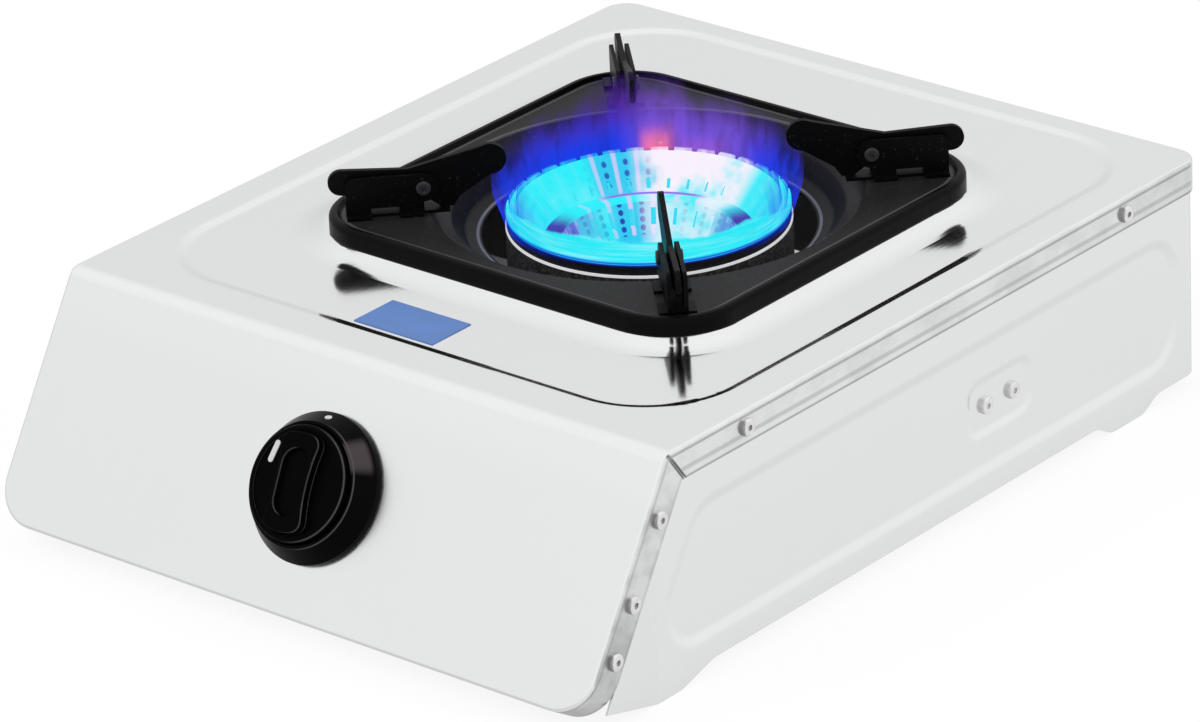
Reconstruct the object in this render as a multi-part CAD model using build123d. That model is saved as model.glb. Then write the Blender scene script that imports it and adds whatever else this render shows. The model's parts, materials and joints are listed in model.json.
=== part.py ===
from build123d import *
import math
import os

# Single gas burner in pressed steel, with one valve, one burner and four pan supports.
# Millimetres. +X is to the right, +Y to the rear and +Z up. The origin is on the floor,
# under the middle of the stove's width and of its length from knob to hose nipple.

# Steel body
BODY_WIDTH = 280.0
TOP_DEPTH = 314.0
TOP_HEIGHT = 92.0
FRONT_SLOPE = 31.5
SHEET = 0.8
LAP_GAP = 0.1
BEND_RADIUS = 6.0
FRONT_CORNER = 16.5
FRONT_EDGE_HEIGHT = 10.6
CORNER_RADIUS = 10.0
FOLD_RADIUS = 1.2
EDGE_GAP = 0.5
TOP_STRIP = 12.6
FRONT_STRIP = 13.0
MITRE_SLIT = 0.6
MITRE_ANGLE = 54.0

# Pressings: a taper is measured from the square to the sheet
RECESS_DEPTH = 0.9
RECESS_SIDE_BORDER = 14.0
RECESS_FRONT_BORDER = 18.0
RECESS_REAR_BORDER = 10.0
RECESS_CORNER = 38.0
PRESS_TAPER = 77.0
PRESS_ROUND = 5.0
PRESS_TOLERANCE = 0.02
SEAT_HEIGHT = 1.5
SEAT_MARGIN = 2.0
SEAT_TAPER = 75.0
SEAT_FOOT_ROUND = 25.0

# Side and rear panels
SIDE_LIFT = 5.0
TOE_HEIGHT = 7.0
FRONT_FOOT_START = 9.0
FRONT_FOOT_LENGTH = 13.0
FRONT_FOOT_RAMP = 18.0
REAR_FOOT_LENGTH = 20.0
REAR_FOOT_INSET = 38.0
REAR_FOOT_RAMP = 9.0
FOOT_ROUND = 10.0
SIDE_RETURN = 14.0
SIDE_PRESS_DEPTH = 0.9
SIDE_PRESS_UPPER = 11.7
SIDE_PRESS_LOWER = 8.5
SIDE_PRESS_FRONT = 13.0
SIDE_PRESS_REAR = 15.0
SIDE_PRESS_CORNER = 18.0
PILL_LENGTH = 40.0
PILL_HEIGHT = 24.0
PILL_CORNER = 8.0
PILL_DEPTH = 0.7
REAR_BOTTOM = 6.0
VENT_MARGIN = 50.0
VENT_GAP = 16.0
VENT_WIDTH = 5.0
VENT_DROP = 28.0
VENT_PITCH = 12.0
VENT_ROWS = 3
VENT_COLUMNS = 3

# Fasteners
SCREW_HEAD_RADIUS = 3.4
SCREW_HEAD_HEIGHT = 1.8
SCREW_RADIUS = 1.9
SCREW_LENGTH = 7.0
DRIVE_RADIUS = 1.1
HOLE_CLEARANCE = 0.05
STRIP_SCREW_FRONT = 43.0
STRIP_SCREW_REAR = 49.0
STRIP_RIVET_FIRST = 22.0
STRIP_RIVET_LAST = 22.7
STRIP_RIVET_PITCH = 20.5
STRIP_RIVET_INSET = 7.0
BRACKET_SCREW_PITCH = 16.0
REAR_SCREW_PITCH = 44.0

# Burner
BURNER_BACK = 160.6
BURNER_RADIUS = 53.0
BURNER_WALL = 4.0
BURNER_FLOOR = 4.0
BURNER_RIM_DROP = 4.5
FIRE_RING_RADIUS = 52.5
FIRE_RING_RISE = 6.0
FIRE_RING_TOP = 1.6
FIRE_CONE_DROP = 13.7
FIRE_CONE_FOOT = 39.5
FIRE_RING_WALL = 2.8
FIRE_LIP = 4.0
FIRE_LIP_THICKNESS = 1.8
SPIGOT_DEPTH = 3.0
SPIGOT_CLEARANCE = 0.4
FIRE_SLOTS = 36
FIRE_SLOT_WIDTH = 1.6
FIRE_SLOT_HEIGHT = 4.0
TOOTH_DEPTH = 1.5
TOOTH_GAP = 2.6
CUP_FLANGE = 1.2
CUP_MOUTH = 33.6
CUP_FLOOR_RADIUS = 26.5
CUP_DEPTH = 13.0
CUP_WALL = 1.6
CUP_SLOTS = 24
CUP_SLOT_WIDTH = 2.0
CUP_CLEARANCE = 0.5

# Burner bracket
BRACKET_BACK = 28.7
BRACKET_WIDTH = 34.0
BRACKET_HEIGHT = 12.0
BRACKET_DROP = 46.0
BRACKET_SHEET = 1.5
BURNER_SCREW_SPREAD = 36.0
BURNER_SCREW_LENGTH = 7.0

# Mixing tube, air shutter and jet
TUBE_RADIUS = 11.0
TUBE_BORE = 8.5
TUBE_DROP = 35.0
TUBE_REACH = 106.0
MOUTH_RADIUS = 15.0
MOUTH_LENGTH = 8.0
SHUTTER_CLEARANCE = 0.4
SHUTTER_WALL = 1.2
SHUTTER_LENGTH = 10.0
SHUTTER_WINDOWS = 3
SHUTTER_WINDOW_RADIUS = 3.2
SHUTTER_TAB = 8.0
JET_RADIUS = 3.6
JET_BORE = 0.6
JET_CLEARANCE = 1.2
JET_HEX = 6.0
JET_HEX_LENGTH = 6.0
JET_NOSE = 7.0

# Tray that carries the pan supports
TRAY_HALF = 91.2
TRAY_CORNER = 27.5
TRAY_SHEET = 1.0
TRAY_RIM_HEIGHT = 5.5
TRAY_RIM_WIDTH = 4.2
TRAY_RIM_ROUND = 2.2
TRAY_RIM_STEP = 1.5
TRAY_RIM_TAPER = 35.0
DISH_MOUTH_GAP = 9.0
DISH_MOUTH_DROP = 13.5
DISH_FOOT_STEP = 6.0
DISH_FOOT_DROP = 12.0
DISH_SHOULDER_STEP = 5.0
DISH_SHOULDER_DROP = 5.0
DISH_RIM_STEP = 7.0
DISH_WALL = 1.2
DISH_ROUND = 3.0
TOP_HOLE_CLEARANCE = 4.0

# Pan supports
ARM_NAMES = ("rear_right", "rear_left", "front_left", "front_right")
ARM_PIVOT = 82.5
ARM_PIVOT_HEIGHT = 15.6
CHEEK_NOSE = 5.4
CHEEK_OUTER = 111.0
CHEEK_ROUND = 3.0
CHEEK_THICKNESS = 1.5
CHEEK_SPACING = 4.4
CHEEK_NOTCH_START = 91.5
CHEEK_NOTCH_END = 102.0
CHEEK_NOTCH_HEIGHT = 2.2
ARM_BASE = 1.2
ARM_BASE_INNER = 73.0
ARM_TAB_INNER = 83.0
ARM_TAB = 3.0
BLADE_THICKNESS = 2.0
BLADE_TIP = 112.3
BLADE_TIP_RADIUS = 4.9
BLADE_TIP_HEIGHT = 18.7
BLADE_DIP = 88.0
BLADE_DIP_HEIGHT = 22.4
BLADE_LOBE = 57.5
BLADE_LOBE_RADIUS = 6.0
BLADE_LOBE_HEIGHT = 30.0
BLADE_THROAT = 69.0
BLADE_THROAT_HEIGHT = 10.5
BLADE_HEEL_START = 71.5
BLADE_HEEL_END = 76.0
BLADE_BELLY = 82.0
BLADE_BELLY_HEIGHT = 11.2
RIVET_RADIUS = 1.6
RIVET_HEAD_RADIUS = 2.7
RIVET_HEAD_HEIGHT = 1.2
RIVET_DIMPLE = 0.9
PIVOT_CLEARANCE = 0.06

# Knob, bezel and valve, measured along the slope and out from the front sheet
KNOB_DOWN = 48.7
KNOB_RADIUS = 21.2
KNOB_FACE = 13.0
KNOB_FOOT = 6.4
KNOB_DISH = 0.8
KNOB_RIM = 2.2
KNOB_ROUND = 1.5
GRIP_LENGTH = 32.0
GRIP_WIDTH = 18.0
GRIP_WAIST = 2.0
GRIP_CORNER = 4.0
GRIP_RISE = 3.0
GRIP_ROUND = 0.5
GRIP_TURN = 4.5
POCKET_LENGTH = 23.0
POCKET_WIDTH = 10.4
POCKET_DEPTH = 2.2
POCKET_TAPER = 25.0
POINTER_LENGTH = 8.4
POINTER_WIDTH = 2.2
POINTER_RISE = 0.4
POINTER_LEFT = 13.7
POINTER_UP = 8.4
POINTER_TURN = -9.0
BEZEL_RADIUS = 27.6
BEZEL_RIM = 2.2
BEZEL_TOP = 10.0
BEZEL_TOP_RADIUS = 22.8
BEZEL_WALL = 1.0
BEZEL_FLOOR = 1.0
BEZEL_HOLE = 9.0
MARK_RADIUS = 1.3
MARK_RISE = 0.3
STEM_RADIUS = 4.0
STEM_FLAT = 1.4
STEM_SOCKET = 4.0
STEM_CLEARANCE = 0.05
STEM_DEPTH = 20.0
KNOB_TRAVEL = 3.0
SEAT_WASHER_RADIUS = 7.4
SEAT_WASHER_THICKNESS = 0.8
SPRING_RADIUS = 5.8
SPRING_WIRE = 0.6
SPRING_TURNS = 3
NECK_RADIUS = 8.0
NECK_CLEARANCE = 0.5
VALVE_RADIUS = 13.0
VALVE_LENGTH = 36.0
VALVE_PLATE_LENGTH = 46.0
VALVE_PLATE_WIDTH = 26.0
VALVE_PLATE = 1.5
VALVE_SCREW_PITCH = 32.0
VALVE_SCREW_HEAD = 2.0
OUTLET_WIDTH = 14.0
OUTLET_CAP = 7.0
PIEZO_RADIUS = 6.0
PIEZO_LENGTH = 18.0
PIEZO_CLIP = 1.0
PIEZO_UP = 4.0

# Gas inlet
PIPE_RADIUS = 5.0
PIPE_BORE = 3.6
PIPE_DROP = 66.0
PIPE_INSET = 45.0
PIPE_BEND = 18.0
INLET_BOSS = 7.0
INLET_BOSS_LENGTH = 8.0
NIPPLE_OUT = 22.0
NIPPLE_RADIUS = 4.6
NIPPLE_BORE = 3.0
NIPPLE_BARB = 5.6
NIPPLE_BARBS = 3
NIPPLE_BARB_PITCH = 6.0
NUT_ACROSS = 17.0
NUT_LENGTH = 6.0

# Spark electrode
SPARK_ANGLE = 125.0
SPARK_OFFSET = 4.6
SPARK_TIP_RADIUS = 0.9
SPARK_INSULATOR_RADIUS = 2.3
SPARK_COLLAR_RADIUS = 3.2
SPARK_COLLAR_HEIGHT = 3.0
SPARK_INSULATOR_HEIGHT = 16.0
SPARK_TIP_DROP = 0.5
SPARK_LUG_THICKNESS = 4.0
SPARK_LUG_DROP = 24.0
LEAD_RADIUS = 1.2
LEAD_LEFT = 66.0
LEAD_TAIL = 14.0
LEAD_BEND = 6.0

# Rating plate, left plain
PLATE_LENGTH = 37.0
PLATE_DEPTH = 21.0
PLATE_THICKNESS = 0.3
PLATE_LEFT = 5.0
PLATE_FRONT = 34.3

# Values worked out from the sizes above
LEAN_SIN = math.sin(math.radians(FRONT_SLOPE))
LEAN_COS = math.cos(math.radians(FRONT_SLOPE))
HALF = BODY_WIDTH / 2
FRONT_LENGTH = (TOP_HEIGHT - FRONT_EDGE_HEIGHT) / LEAN_COS
FRONT_REACH = LEAN_SIN * FRONT_LENGTH - FOLD_RADIUS * (LEAN_SIN + LEAN_COS - 1)
BEND_Y = (FRONT_REACH - TOP_DEPTH - NIPPLE_OUT) / 2
REAR_Y = BEND_Y + TOP_DEPTH
REAR_FACE_Y = REAR_Y - 2 * SHEET - 2 * LAP_GAP
AXIS_Y = BEND_Y + BURNER_BACK
SIDE_FACE = HALF - SHEET - LAP_GAP
SIDE_INNER = SIDE_FACE - SHEET
EDGE_INSET = FOLD_RADIUS + EDGE_GAP
RECESS_FLOOR = TOP_HEIGHT - RECESS_DEPTH
SEAT_TOP = TOP_HEIGHT + SEAT_HEIGHT
TRAY_FLAT = SEAT_TOP + TRAY_RIM_HEIGHT - TRAY_RIM_STEP
ARM_FLOOR = TRAY_FLAT + ARM_BASE
BURNER_RIM = TOP_HEIGHT - BURNER_RIM_DROP
BRACKET_TOP = TOP_HEIGHT - BRACKET_DROP
TUBE_HEIGHT = TOP_HEIGHT - TUBE_DROP
PIPE_HEIGHT = TOP_HEIGHT - PIPE_DROP
PIPE_LEFT = HALF - PIPE_INSET
DISH_MOUTH_RADIUS = BURNER_RADIUS + DISH_MOUTH_GAP
DISH_FOOT_RADIUS = DISH_MOUTH_RADIUS + DISH_FOOT_STEP
DISH_SHOULDER_RADIUS = DISH_FOOT_RADIUS + DISH_SHOULDER_STEP
DISH_RADIUS = DISH_SHOULDER_RADIUS + DISH_RIM_STEP
BRACKET_Y = AXIS_Y + BRACKET_BACK
BRACKET_SCREW_Z = BRACKET_TOP - BRACKET_HEIGHT / 2
PILL_FACE = SIDE_INNER - SIDE_PRESS_DEPTH - PILL_DEPTH
MOUTH_Y = AXIS_Y - TUBE_REACH
SHUTTER_FRONT_Y = MOUTH_Y - SHUTTER_CLEARANCE - SHUTTER_WALL
JET_TIP_Y = SHUTTER_FRONT_Y + SHUTTER_WALL
OUTLET_FACE_Y = JET_TIP_Y - JET_NOSE - JET_HEX_LENGTH
PIEZO_DEPTH = -SCREW_LENGTH - EDGE_GAP - PIEZO_LENGTH / 2
KNOB_PLANE = Plane(
    origin=(0, BEND_Y - LEAN_SIN * KNOB_DOWN, TOP_HEIGHT - LEAN_COS * KNOB_DOWN),
    x_dir=(1, 0, 0),
    z_dir=(0, -LEAN_COS, LEAN_SIN),
)


def slope_y(z, inset):
    """Y of the sloped front at height z, with the sheet moved inwards by inset."""
    return BEND_Y + (inset + LEAN_SIN * (z - TOP_HEIGHT)) / LEAN_COS


def on_slope(down, depth):
    """(y, z) of a point down the sloped front from the bend and square into it by depth."""
    y = BEND_Y - LEAN_SIN * down + LEAN_COS * depth
    z = TOP_HEIGHT - LEAN_COS * down - LEAN_SIN * depth
    return (y, z)


def prism(points, radii, half_length):
    """Solid with a (y, z) outline that runs along X, half_length to each side."""
    outline = make_face(FilletPolyline(*points, radius=radii, close=True))
    return extrude(Plane.YZ * outline, half_length, both=True)


def rounded_block(width, depth, corner, middle_y, low, high, taper=0.0):
    """Upright block with rounded corners; a positive taper draws its top in."""
    outline = Pos(0, middle_y, low) * RectangleRounded(width, depth, corner)
    return extrude(outline, high - low, taper=taper)


def tube_along_z(outer, inner, low, high):
    """Ring of rectangular section about the Z axis."""
    ring = Circle(outer) - Circle(inner)
    return extrude(Pos(0, 0, low) * ring, high - low)


def revolved(points):
    """Solid turned about the burner's axis from (radius, z) points."""
    outline = Plane.XZ * make_face(Polyline(*points, close=True))
    return Pos(0, AXIS_Y, 0) * revolve(outline, Axis.Z)


def envelope(inset):
    """Solid inside the stove's skin, with every wall moved inwards by inset."""
    top = TOP_HEIGHT - inset
    rear = REAR_Y - inset
    edge = on_slope(FRONT_LENGTH - inset, inset)
    under = on_slope(FRONT_LENGTH - inset, 2 * FRONT_STRIP)
    points = ((rear, under[1]), (rear, top), (slope_y(top, inset), top), edge, under)
    block = prism(points, (0, 0, BEND_RADIUS - inset, 0, 0), HALF - inset)
    upright = block.edges().filter_by(Axis.Z).group_by(Axis.Y)[-1]
    block = fillet(upright, CORNER_RADIUS - inset)
    into_slope = Axis((0, 0, 0), (0, LEAN_COS, -LEAN_SIN))
    block = fillet(block.edges().filter_by(into_slope), FRONT_CORNER - inset)
    rim = block.edges().filter_by(Axis.Y).group_by(Axis.Z)[-1]
    return fillet(rim, FOLD_RADIUS - inset)


def edges_inside(shape, box):
    """Edges with their middle inside a bounding box, a little tolerance added."""
    found = []
    for edge in shape.edges():
        middle = edge.center()
        inside = (
            box.min.X - PRESS_TOLERANCE <= middle.X <= box.max.X + PRESS_TOLERANCE,
            box.min.Y - PRESS_TOLERANCE <= middle.Y <= box.max.Y + PRESS_TOLERANCE,
            box.min.Z - PRESS_TOLERANCE <= middle.Z <= box.max.Z + PRESS_TOLERANCE,
        )
        if all(inside):
            found.append(edge)
    return found


def sheet_grow(taper):
    """How far a pressing's outline grows on the back of the sheet."""
    return SHEET * math.tan(math.radians(90 - taper) / 2)


def screw(head_radius, head_height, length):
    """Domed screw on the XY plane with its head up and a round drive in it."""
    head = Cylinder(head_radius, head_height, align=(Align.CENTER, Align.CENTER, Align.MIN))
    head = fillet(head.edges().group_by(Axis.Z)[-1], head_height * 0.6)
    drive = Pos(0, 0, head_height) * Cylinder(DRIVE_RADIUS, head_height)
    shank = Cylinder(SCREW_RADIUS, length, align=(Align.CENTER, Align.CENTER, Align.MAX))
    return head - drive + shank


def write(node, shape):
    """Save one node under its name."""
    export_step(shape, os.path.join("parts", node + ".step"))


def group(pieces):
    """Separate solids that share one node."""
    return Compound(children=list(pieces))


def side_places(y, z, x):
    """Planes that face outwards on the right and left sides at one place."""
    right = Plane(origin=(x, y, z), x_dir=(0, 1, 0), z_dir=(1, 0, 0))
    left = Plane(origin=(-x, y, z), x_dir=(0, -1, 0), z_dir=(-1, 0, 0))
    return (right, left)


def strip_rivet_points():
    """Where the front strip's rivets stand, as (y, z)."""
    last = FRONT_LENGTH - STRIP_RIVET_LAST
    downs = (STRIP_RIVET_FIRST, last - STRIP_RIVET_PITCH, last)
    return [on_slope(down, STRIP_RIVET_INSET) for down in downs]


STRIP_SCREW_POINTS = [
    (BEND_Y + STRIP_SCREW_FRONT, TOP_HEIGHT - TOP_STRIP / 2),
    (REAR_Y - STRIP_SCREW_REAR, TOP_HEIGHT - TOP_STRIP / 2),
]
BRACKET_SCREW_POINTS = [
    (BRACKET_Y - BRACKET_SCREW_PITCH / 2, BRACKET_SCREW_Z),
    (BRACKET_Y + BRACKET_SCREW_PITCH / 2, BRACKET_SCREW_Z),
]
SCREW_HOLE = SCREW_RADIUS + HOLE_CLEARANCE


def drilled(shape, points, x):
    """The shape with screw holes through both of its sides at (y, z) points."""
    for y, z in points:
        for place in side_places(y, z, x):
            shape -= place * Cylinder(SCREW_HOLE, 4 * SCREW_LENGTH)
    return shape


# Top and front in one bent sheet
def top_front_panel():
    shell = envelope(0) - envelope(SHEET)
    strip_low = TOP_HEIGHT - TOP_STRIP
    beyond = REAR_Y + TOP_STRIP
    below = -TOP_STRIP
    waste = (
        (beyond, below),
        (beyond, strip_low),
        (slope_y(strip_low, FRONT_STRIP), strip_low),
        (slope_y(below, FRONT_STRIP), below),
    )
    shell -= prism(waste, (0, 0, 0, 0), BODY_WIDTH)

    recess_width = BODY_WIDTH - 2 * RECESS_SIDE_BORDER
    recess_depth = TOP_DEPTH - RECESS_FRONT_BORDER - RECESS_REAR_BORDER
    recess_y = BEND_Y + RECESS_FRONT_BORDER + recess_depth / 2
    slant = RECESS_DEPTH * math.tan(math.radians(PRESS_TAPER))
    floor_width = recess_width - 2 * slant
    floor_depth = recess_depth - 2 * slant
    floor_corner = RECESS_CORNER - slant
    grow = sheet_grow(PRESS_TAPER)
    pan = rounded_block(
        floor_width + 2 * grow, floor_depth + 2 * grow, floor_corner + grow, recess_y,
        RECESS_FLOOR - SHEET, TOP_HEIGHT - SHEET, -PRESS_TAPER)
    hollow = rounded_block(
        floor_width, floor_depth, floor_corner, recess_y, RECESS_FLOOR, TOP_HEIGHT, -PRESS_TAPER)
    rim = Pos(0, recess_y, TOP_HEIGHT) * Rectangle(recess_width, recess_depth)
    hollow = fillet(hollow.edges().group_by(Axis.Z)[0], PRESS_ROUND)
    panel = shell + pan - hollow
    panel = fillet(edges_inside(panel, rim.bounding_box()), PRESS_ROUND)

    spread = (SEAT_TOP - RECESS_FLOOR) * math.tan(math.radians(SEAT_TAPER))
    seat_width = 2 * (TRAY_HALF + SEAT_MARGIN + spread)
    seat_corner = TRAY_CORNER + SEAT_MARGIN + spread
    seat = rounded_block(
        seat_width, seat_width, seat_corner, AXIS_Y, RECESS_FLOOR, SEAT_TOP, SEAT_TAPER)
    seat = fillet(seat.edges().group_by(Axis.Z)[-1], PRESS_ROUND)
    under = rounded_block(
        seat_width, seat_width, seat_corner, AXIS_Y,
        RECESS_FLOOR - SHEET, SEAT_TOP - SHEET, SEAT_TAPER)
    foot = Pos(0, AXIS_Y, RECESS_FLOOR) * Rectangle(seat_width, seat_width)
    panel += seat
    panel = fillet(edges_inside(panel, foot.bounding_box()), SEAT_FOOT_ROUND)
    hole = Pos(0, AXIS_Y, SEAT_TOP) * Cylinder(
        DISH_SHOULDER_RADIUS + TOP_HOLE_CLEARANCE, TOP_STRIP)
    panel = panel - under - hole

    neck_hole = KNOB_PLANE * Cylinder(NECK_RADIUS + NECK_CLEARANCE, TOP_STRIP)
    panel -= neck_hole
    for side in (-1, 1):
        place = KNOB_PLANE * Pos(side * VALVE_SCREW_PITCH / 2, 0, 0)
        panel -= place * Cylinder(SCREW_HOLE, TOP_STRIP)
    panel = drilled(panel, STRIP_SCREW_POINTS, HALF)
    panel = drilled(panel, strip_rivet_points(), HALF)

    slit_length = 2 * TOP_STRIP
    for side in (-1, 1):
        place = Pos(side * HALF, BEND_Y, TOP_HEIGHT) * Rot(-MITRE_ANGLE, 0, 0)
        start = Pos(0, FOLD_RADIUS + slit_length / 2, 0)
        panel -= place * start * Box(2 * EDGE_INSET, slit_length, MITRE_SLIT)
    return panel


def pressed(panel, sketch, face_x, depth):
    """The right side panel with a field of its sheet at face_x pressed inwards by depth."""
    face = Plane(origin=(face_x, 0, 0), x_dir=(0, 1, 0), z_dir=(1, 0, 0))
    back = Plane(origin=(face_x - SHEET, 0, 0), x_dir=(0, 1, 0), z_dir=(1, 0, 0))
    backing = extrude(back * offset(sketch, sheet_grow(PRESS_TAPER)), -depth, taper=PRESS_TAPER)
    hollow = extrude(face * sketch, -depth, taper=PRESS_TAPER)
    hollow = fillet(hollow.edges().group_by(Axis.X)[0], PRESS_ROUND)
    panel = panel + backing - hollow
    return fillet(edges_inside(panel, (face * sketch).bounding_box()), PRESS_ROUND)


# One side panel, made for the right side
def side_panel():
    straight_end = REAR_Y - CORNER_RADIUS
    rear_face = REAR_Y - SHEET - LAP_GAP
    corner = CORNER_RADIUS - SHEET - LAP_GAP
    return_end = HALF - CORNER_RADIUS - SIDE_RETURN
    front = slope_y(0, 0)
    path = Line((SIDE_FACE, front), (SIDE_FACE, straight_end))
    path += RadiusArc(
        (SIDE_FACE, straight_end), (SIDE_FACE - corner, rear_face), -corner)
    path += Line((SIDE_FACE - corner, rear_face), (return_end, rear_face))
    inner = Line((return_end, rear_face - SHEET), (SIDE_FACE - corner, rear_face - SHEET))
    inner += RadiusArc(
        (SIDE_FACE - corner, rear_face - SHEET), (SIDE_INNER, straight_end), corner - SHEET)
    inner += Line((SIDE_INNER, straight_end), (SIDE_INNER, front))
    ends = Line((return_end, rear_face), (return_end, rear_face - SHEET))
    ends += Line((SIDE_INNER, front), (SIDE_FACE, front))
    strip = extrude(make_face(path.edges() + inner.edges() + ends.edges()), TOP_HEIGHT)

    top = TOP_HEIGHT - EDGE_INSET
    notch = FRONT_LENGTH - FRONT_CORNER - EDGE_GAP
    behind = FRONT_STRIP + EDGE_GAP
    foot_front = BEND_Y - FRONT_FOOT_START
    foot_back = foot_front + FRONT_FOOT_LENGTH
    rear_foot_end = REAR_Y - REAR_FOOT_INSET
    rear_foot_start = rear_foot_end - REAR_FOOT_LENGTH
    beyond = REAR_Y + EDGE_INSET
    outline = (
        (beyond, top),
        (slope_y(top, EDGE_INSET), top),
        on_slope(notch, EDGE_INSET),
        on_slope(notch, behind),
        (slope_y(TOE_HEIGHT, behind), TOE_HEIGHT),
        (foot_front, 0),
        (foot_back, 0),
        (foot_back + FRONT_FOOT_RAMP, SIDE_LIFT),
        (rear_foot_start - REAR_FOOT_RAMP, SIDE_LIFT),
        (rear_foot_start, 0),
        (rear_foot_end, 0),
        (rear_foot_end + REAR_FOOT_RAMP, SIDE_LIFT),
        (beyond, SIDE_LIFT),
    )
    rounds = (0, BEND_RADIUS - EDGE_INSET, 0, 0, 0, *[FOOT_ROUND] * 7, 0)
    panel = strip & prism(outline, rounds, HALF)

    press_top = TOP_HEIGHT - TOP_STRIP - SIDE_PRESS_UPPER
    press_low = SIDE_LIFT + SIDE_PRESS_LOWER
    press_front = FRONT_STRIP + SIDE_PRESS_FRONT
    press_rear = REAR_Y - SIDE_PRESS_REAR
    pressing = make_face(FilletPolyline(
        (press_rear, press_top),
        (slope_y(press_top, press_front), press_top),
        (slope_y(press_low, press_front), press_low),
        (press_rear, press_low),
        radius=SIDE_PRESS_CORNER, close=True))
    pill = Pos(BRACKET_Y, BRACKET_SCREW_Z) * RectangleRounded(
        PILL_LENGTH, PILL_HEIGHT, PILL_CORNER)
    panel = pressed(panel, pressing, SIDE_FACE, SIDE_PRESS_DEPTH)
    panel = pressed(panel, pill, SIDE_FACE - SIDE_PRESS_DEPTH, PILL_DEPTH)
    points = STRIP_SCREW_POINTS + strip_rivet_points() + BRACKET_SCREW_POINTS
    for y, z in points:
        place = side_places(y, z, SIDE_FACE)[0]
        panel -= place * Cylinder(SCREW_HOLE, 4 * SCREW_LENGTH)
    for y, z in rear_screw_points():
        place = Plane(origin=(y, REAR_Y, z), x_dir=(-1, 0, 0), z_dir=(0, 1, 0))
        panel -= place * Cylinder(SCREW_HOLE, 4 * SCREW_LENGTH)
    return panel


def rear_screw_points():
    """Where the rear panel's right-hand screws stand, as (x, z)."""
    x = HALF - CORNER_RADIUS - SIDE_RETURN / 2
    middle = (TOP_HEIGHT - TOP_STRIP + REAR_BOTTOM) / 2
    return [(x, middle - REAR_SCREW_PITCH / 2), (x, middle + REAR_SCREW_PITCH / 2)]


def rear_panel():
    outer = REAR_FACE_Y
    width = 2 * (HALF - CORNER_RADIUS - EDGE_GAP)
    top = TOP_HEIGHT - EDGE_INSET - RECESS_DEPTH
    panel = Pos(0, outer - SHEET / 2, (REAR_BOTTOM + top) / 2) * Box(
        width, SHEET, top - REAR_BOTTOM)
    free_width = width - 2 * VENT_MARGIN + VENT_GAP
    vent_length = free_width / VENT_COLUMNS - VENT_GAP
    vent_left = -width / 2 + VENT_MARGIN + vent_length / 2
    face = Plane(origin=(0, outer, 0), x_dir=(1, 0, 0), z_dir=(0, -1, 0))
    for row in range(VENT_ROWS):
        for column in range(VENT_COLUMNS):
            x = vent_left + column * (vent_length + VENT_GAP)
            slot = Pos(x, TOP_HEIGHT - VENT_DROP - row * VENT_PITCH)
            cut = face * slot * SlotOverall(vent_length, VENT_WIDTH)
            panel -= extrude(cut, TOP_STRIP, both=True)
    inlet = Plane(origin=(-PIPE_LEFT, outer, PIPE_HEIGHT), z_dir=(0, 1, 0))
    panel -= inlet * Cylinder(PIPE_RADIUS + HOLE_CLEARANCE, TOP_STRIP)
    for x, z in rear_screw_points():
        for side in (-1, 1):
            place = Plane(origin=(side * x, outer, z), z_dir=(0, 1, 0))
            panel -= place * Cylinder(SCREW_HOLE, TOP_STRIP)
    return panel


def burner_bracket():
    length = 2 * PILL_FACE
    low = BRACKET_TOP - BRACKET_HEIGHT
    outer = Pos(0, BRACKET_Y, BRACKET_TOP - BRACKET_HEIGHT / 2) * Box(
        length, BRACKET_WIDTH, BRACKET_HEIGHT)
    inner = Pos(0, BRACKET_Y, low + (BRACKET_HEIGHT - BRACKET_SHEET) / 2) * Box(
        length - 2 * BRACKET_SHEET, BRACKET_WIDTH - 2 * BRACKET_SHEET, BRACKET_HEIGHT - BRACKET_SHEET)
    bracket = drilled(outer - inner, BRACKET_SCREW_POINTS, length / 2)
    for side in (-1, 1):
        place = Pos(side * BURNER_SCREW_SPREAD / 2, BRACKET_Y, BRACKET_TOP)
        bracket -= place * Cylinder(SCREW_HOLE, BRACKET_HEIGHT)
    return bracket


# Tray, turned dish included
def pan_tray():
    top = SEAT_TOP + TRAY_RIM_HEIGHT
    tray = rounded_block(
        2 * TRAY_HALF, 2 * TRAY_HALF, TRAY_CORNER, AXIS_Y, SEAT_TOP, top)
    tray = fillet(tray.edges().group_by(Axis.Z)[-1], TRAY_RIM_ROUND)
    inside = TRAY_HALF - TRAY_RIM_WIDTH
    tray -= rounded_block(
        2 * inside, 2 * inside, TRAY_CORNER - TRAY_RIM_WIDTH, AXIS_Y, TRAY_FLAT, top, -TRAY_RIM_TAPER)
    skirt = TRAY_HALF - TRAY_SHEET
    tray -= rounded_block(
        2 * skirt, 2 * skirt, TRAY_CORNER - TRAY_SHEET, AXIS_Y, SEAT_TOP, TRAY_FLAT - TRAY_SHEET)
    tray -= Pos(0, AXIS_Y, TRAY_FLAT) * Cylinder(DISH_RADIUS, top)
    level = TRAY_FLAT - DISH_WALL / 2
    middle = FilletPolyline(
        (DISH_RADIUS + 2 * DISH_WALL, level),
        (DISH_RADIUS, level),
        (DISH_SHOULDER_RADIUS, level - DISH_SHOULDER_DROP),
        (DISH_FOOT_RADIUS, level - DISH_FOOT_DROP),
        (DISH_MOUTH_RADIUS, level - DISH_MOUTH_DROP),
        radius=DISH_ROUND)
    section = Plane.XZ * trace(middle, DISH_WALL)
    return tray + Pos(0, AXIS_Y, 0) * revolve(section, Axis.Z)


def arm_plane(index):
    """Plane of one pan support: X out from the burner's axis, Y up, from the top sheet."""
    angle = math.radians(45 + 90 * index)
    out = (math.cos(angle), math.sin(angle), 0)
    across = (math.sin(angle), -math.cos(angle), 0)
    return Plane(origin=(0, AXIS_Y, TOP_HEIGHT), x_dir=out, z_dir=across)


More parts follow.
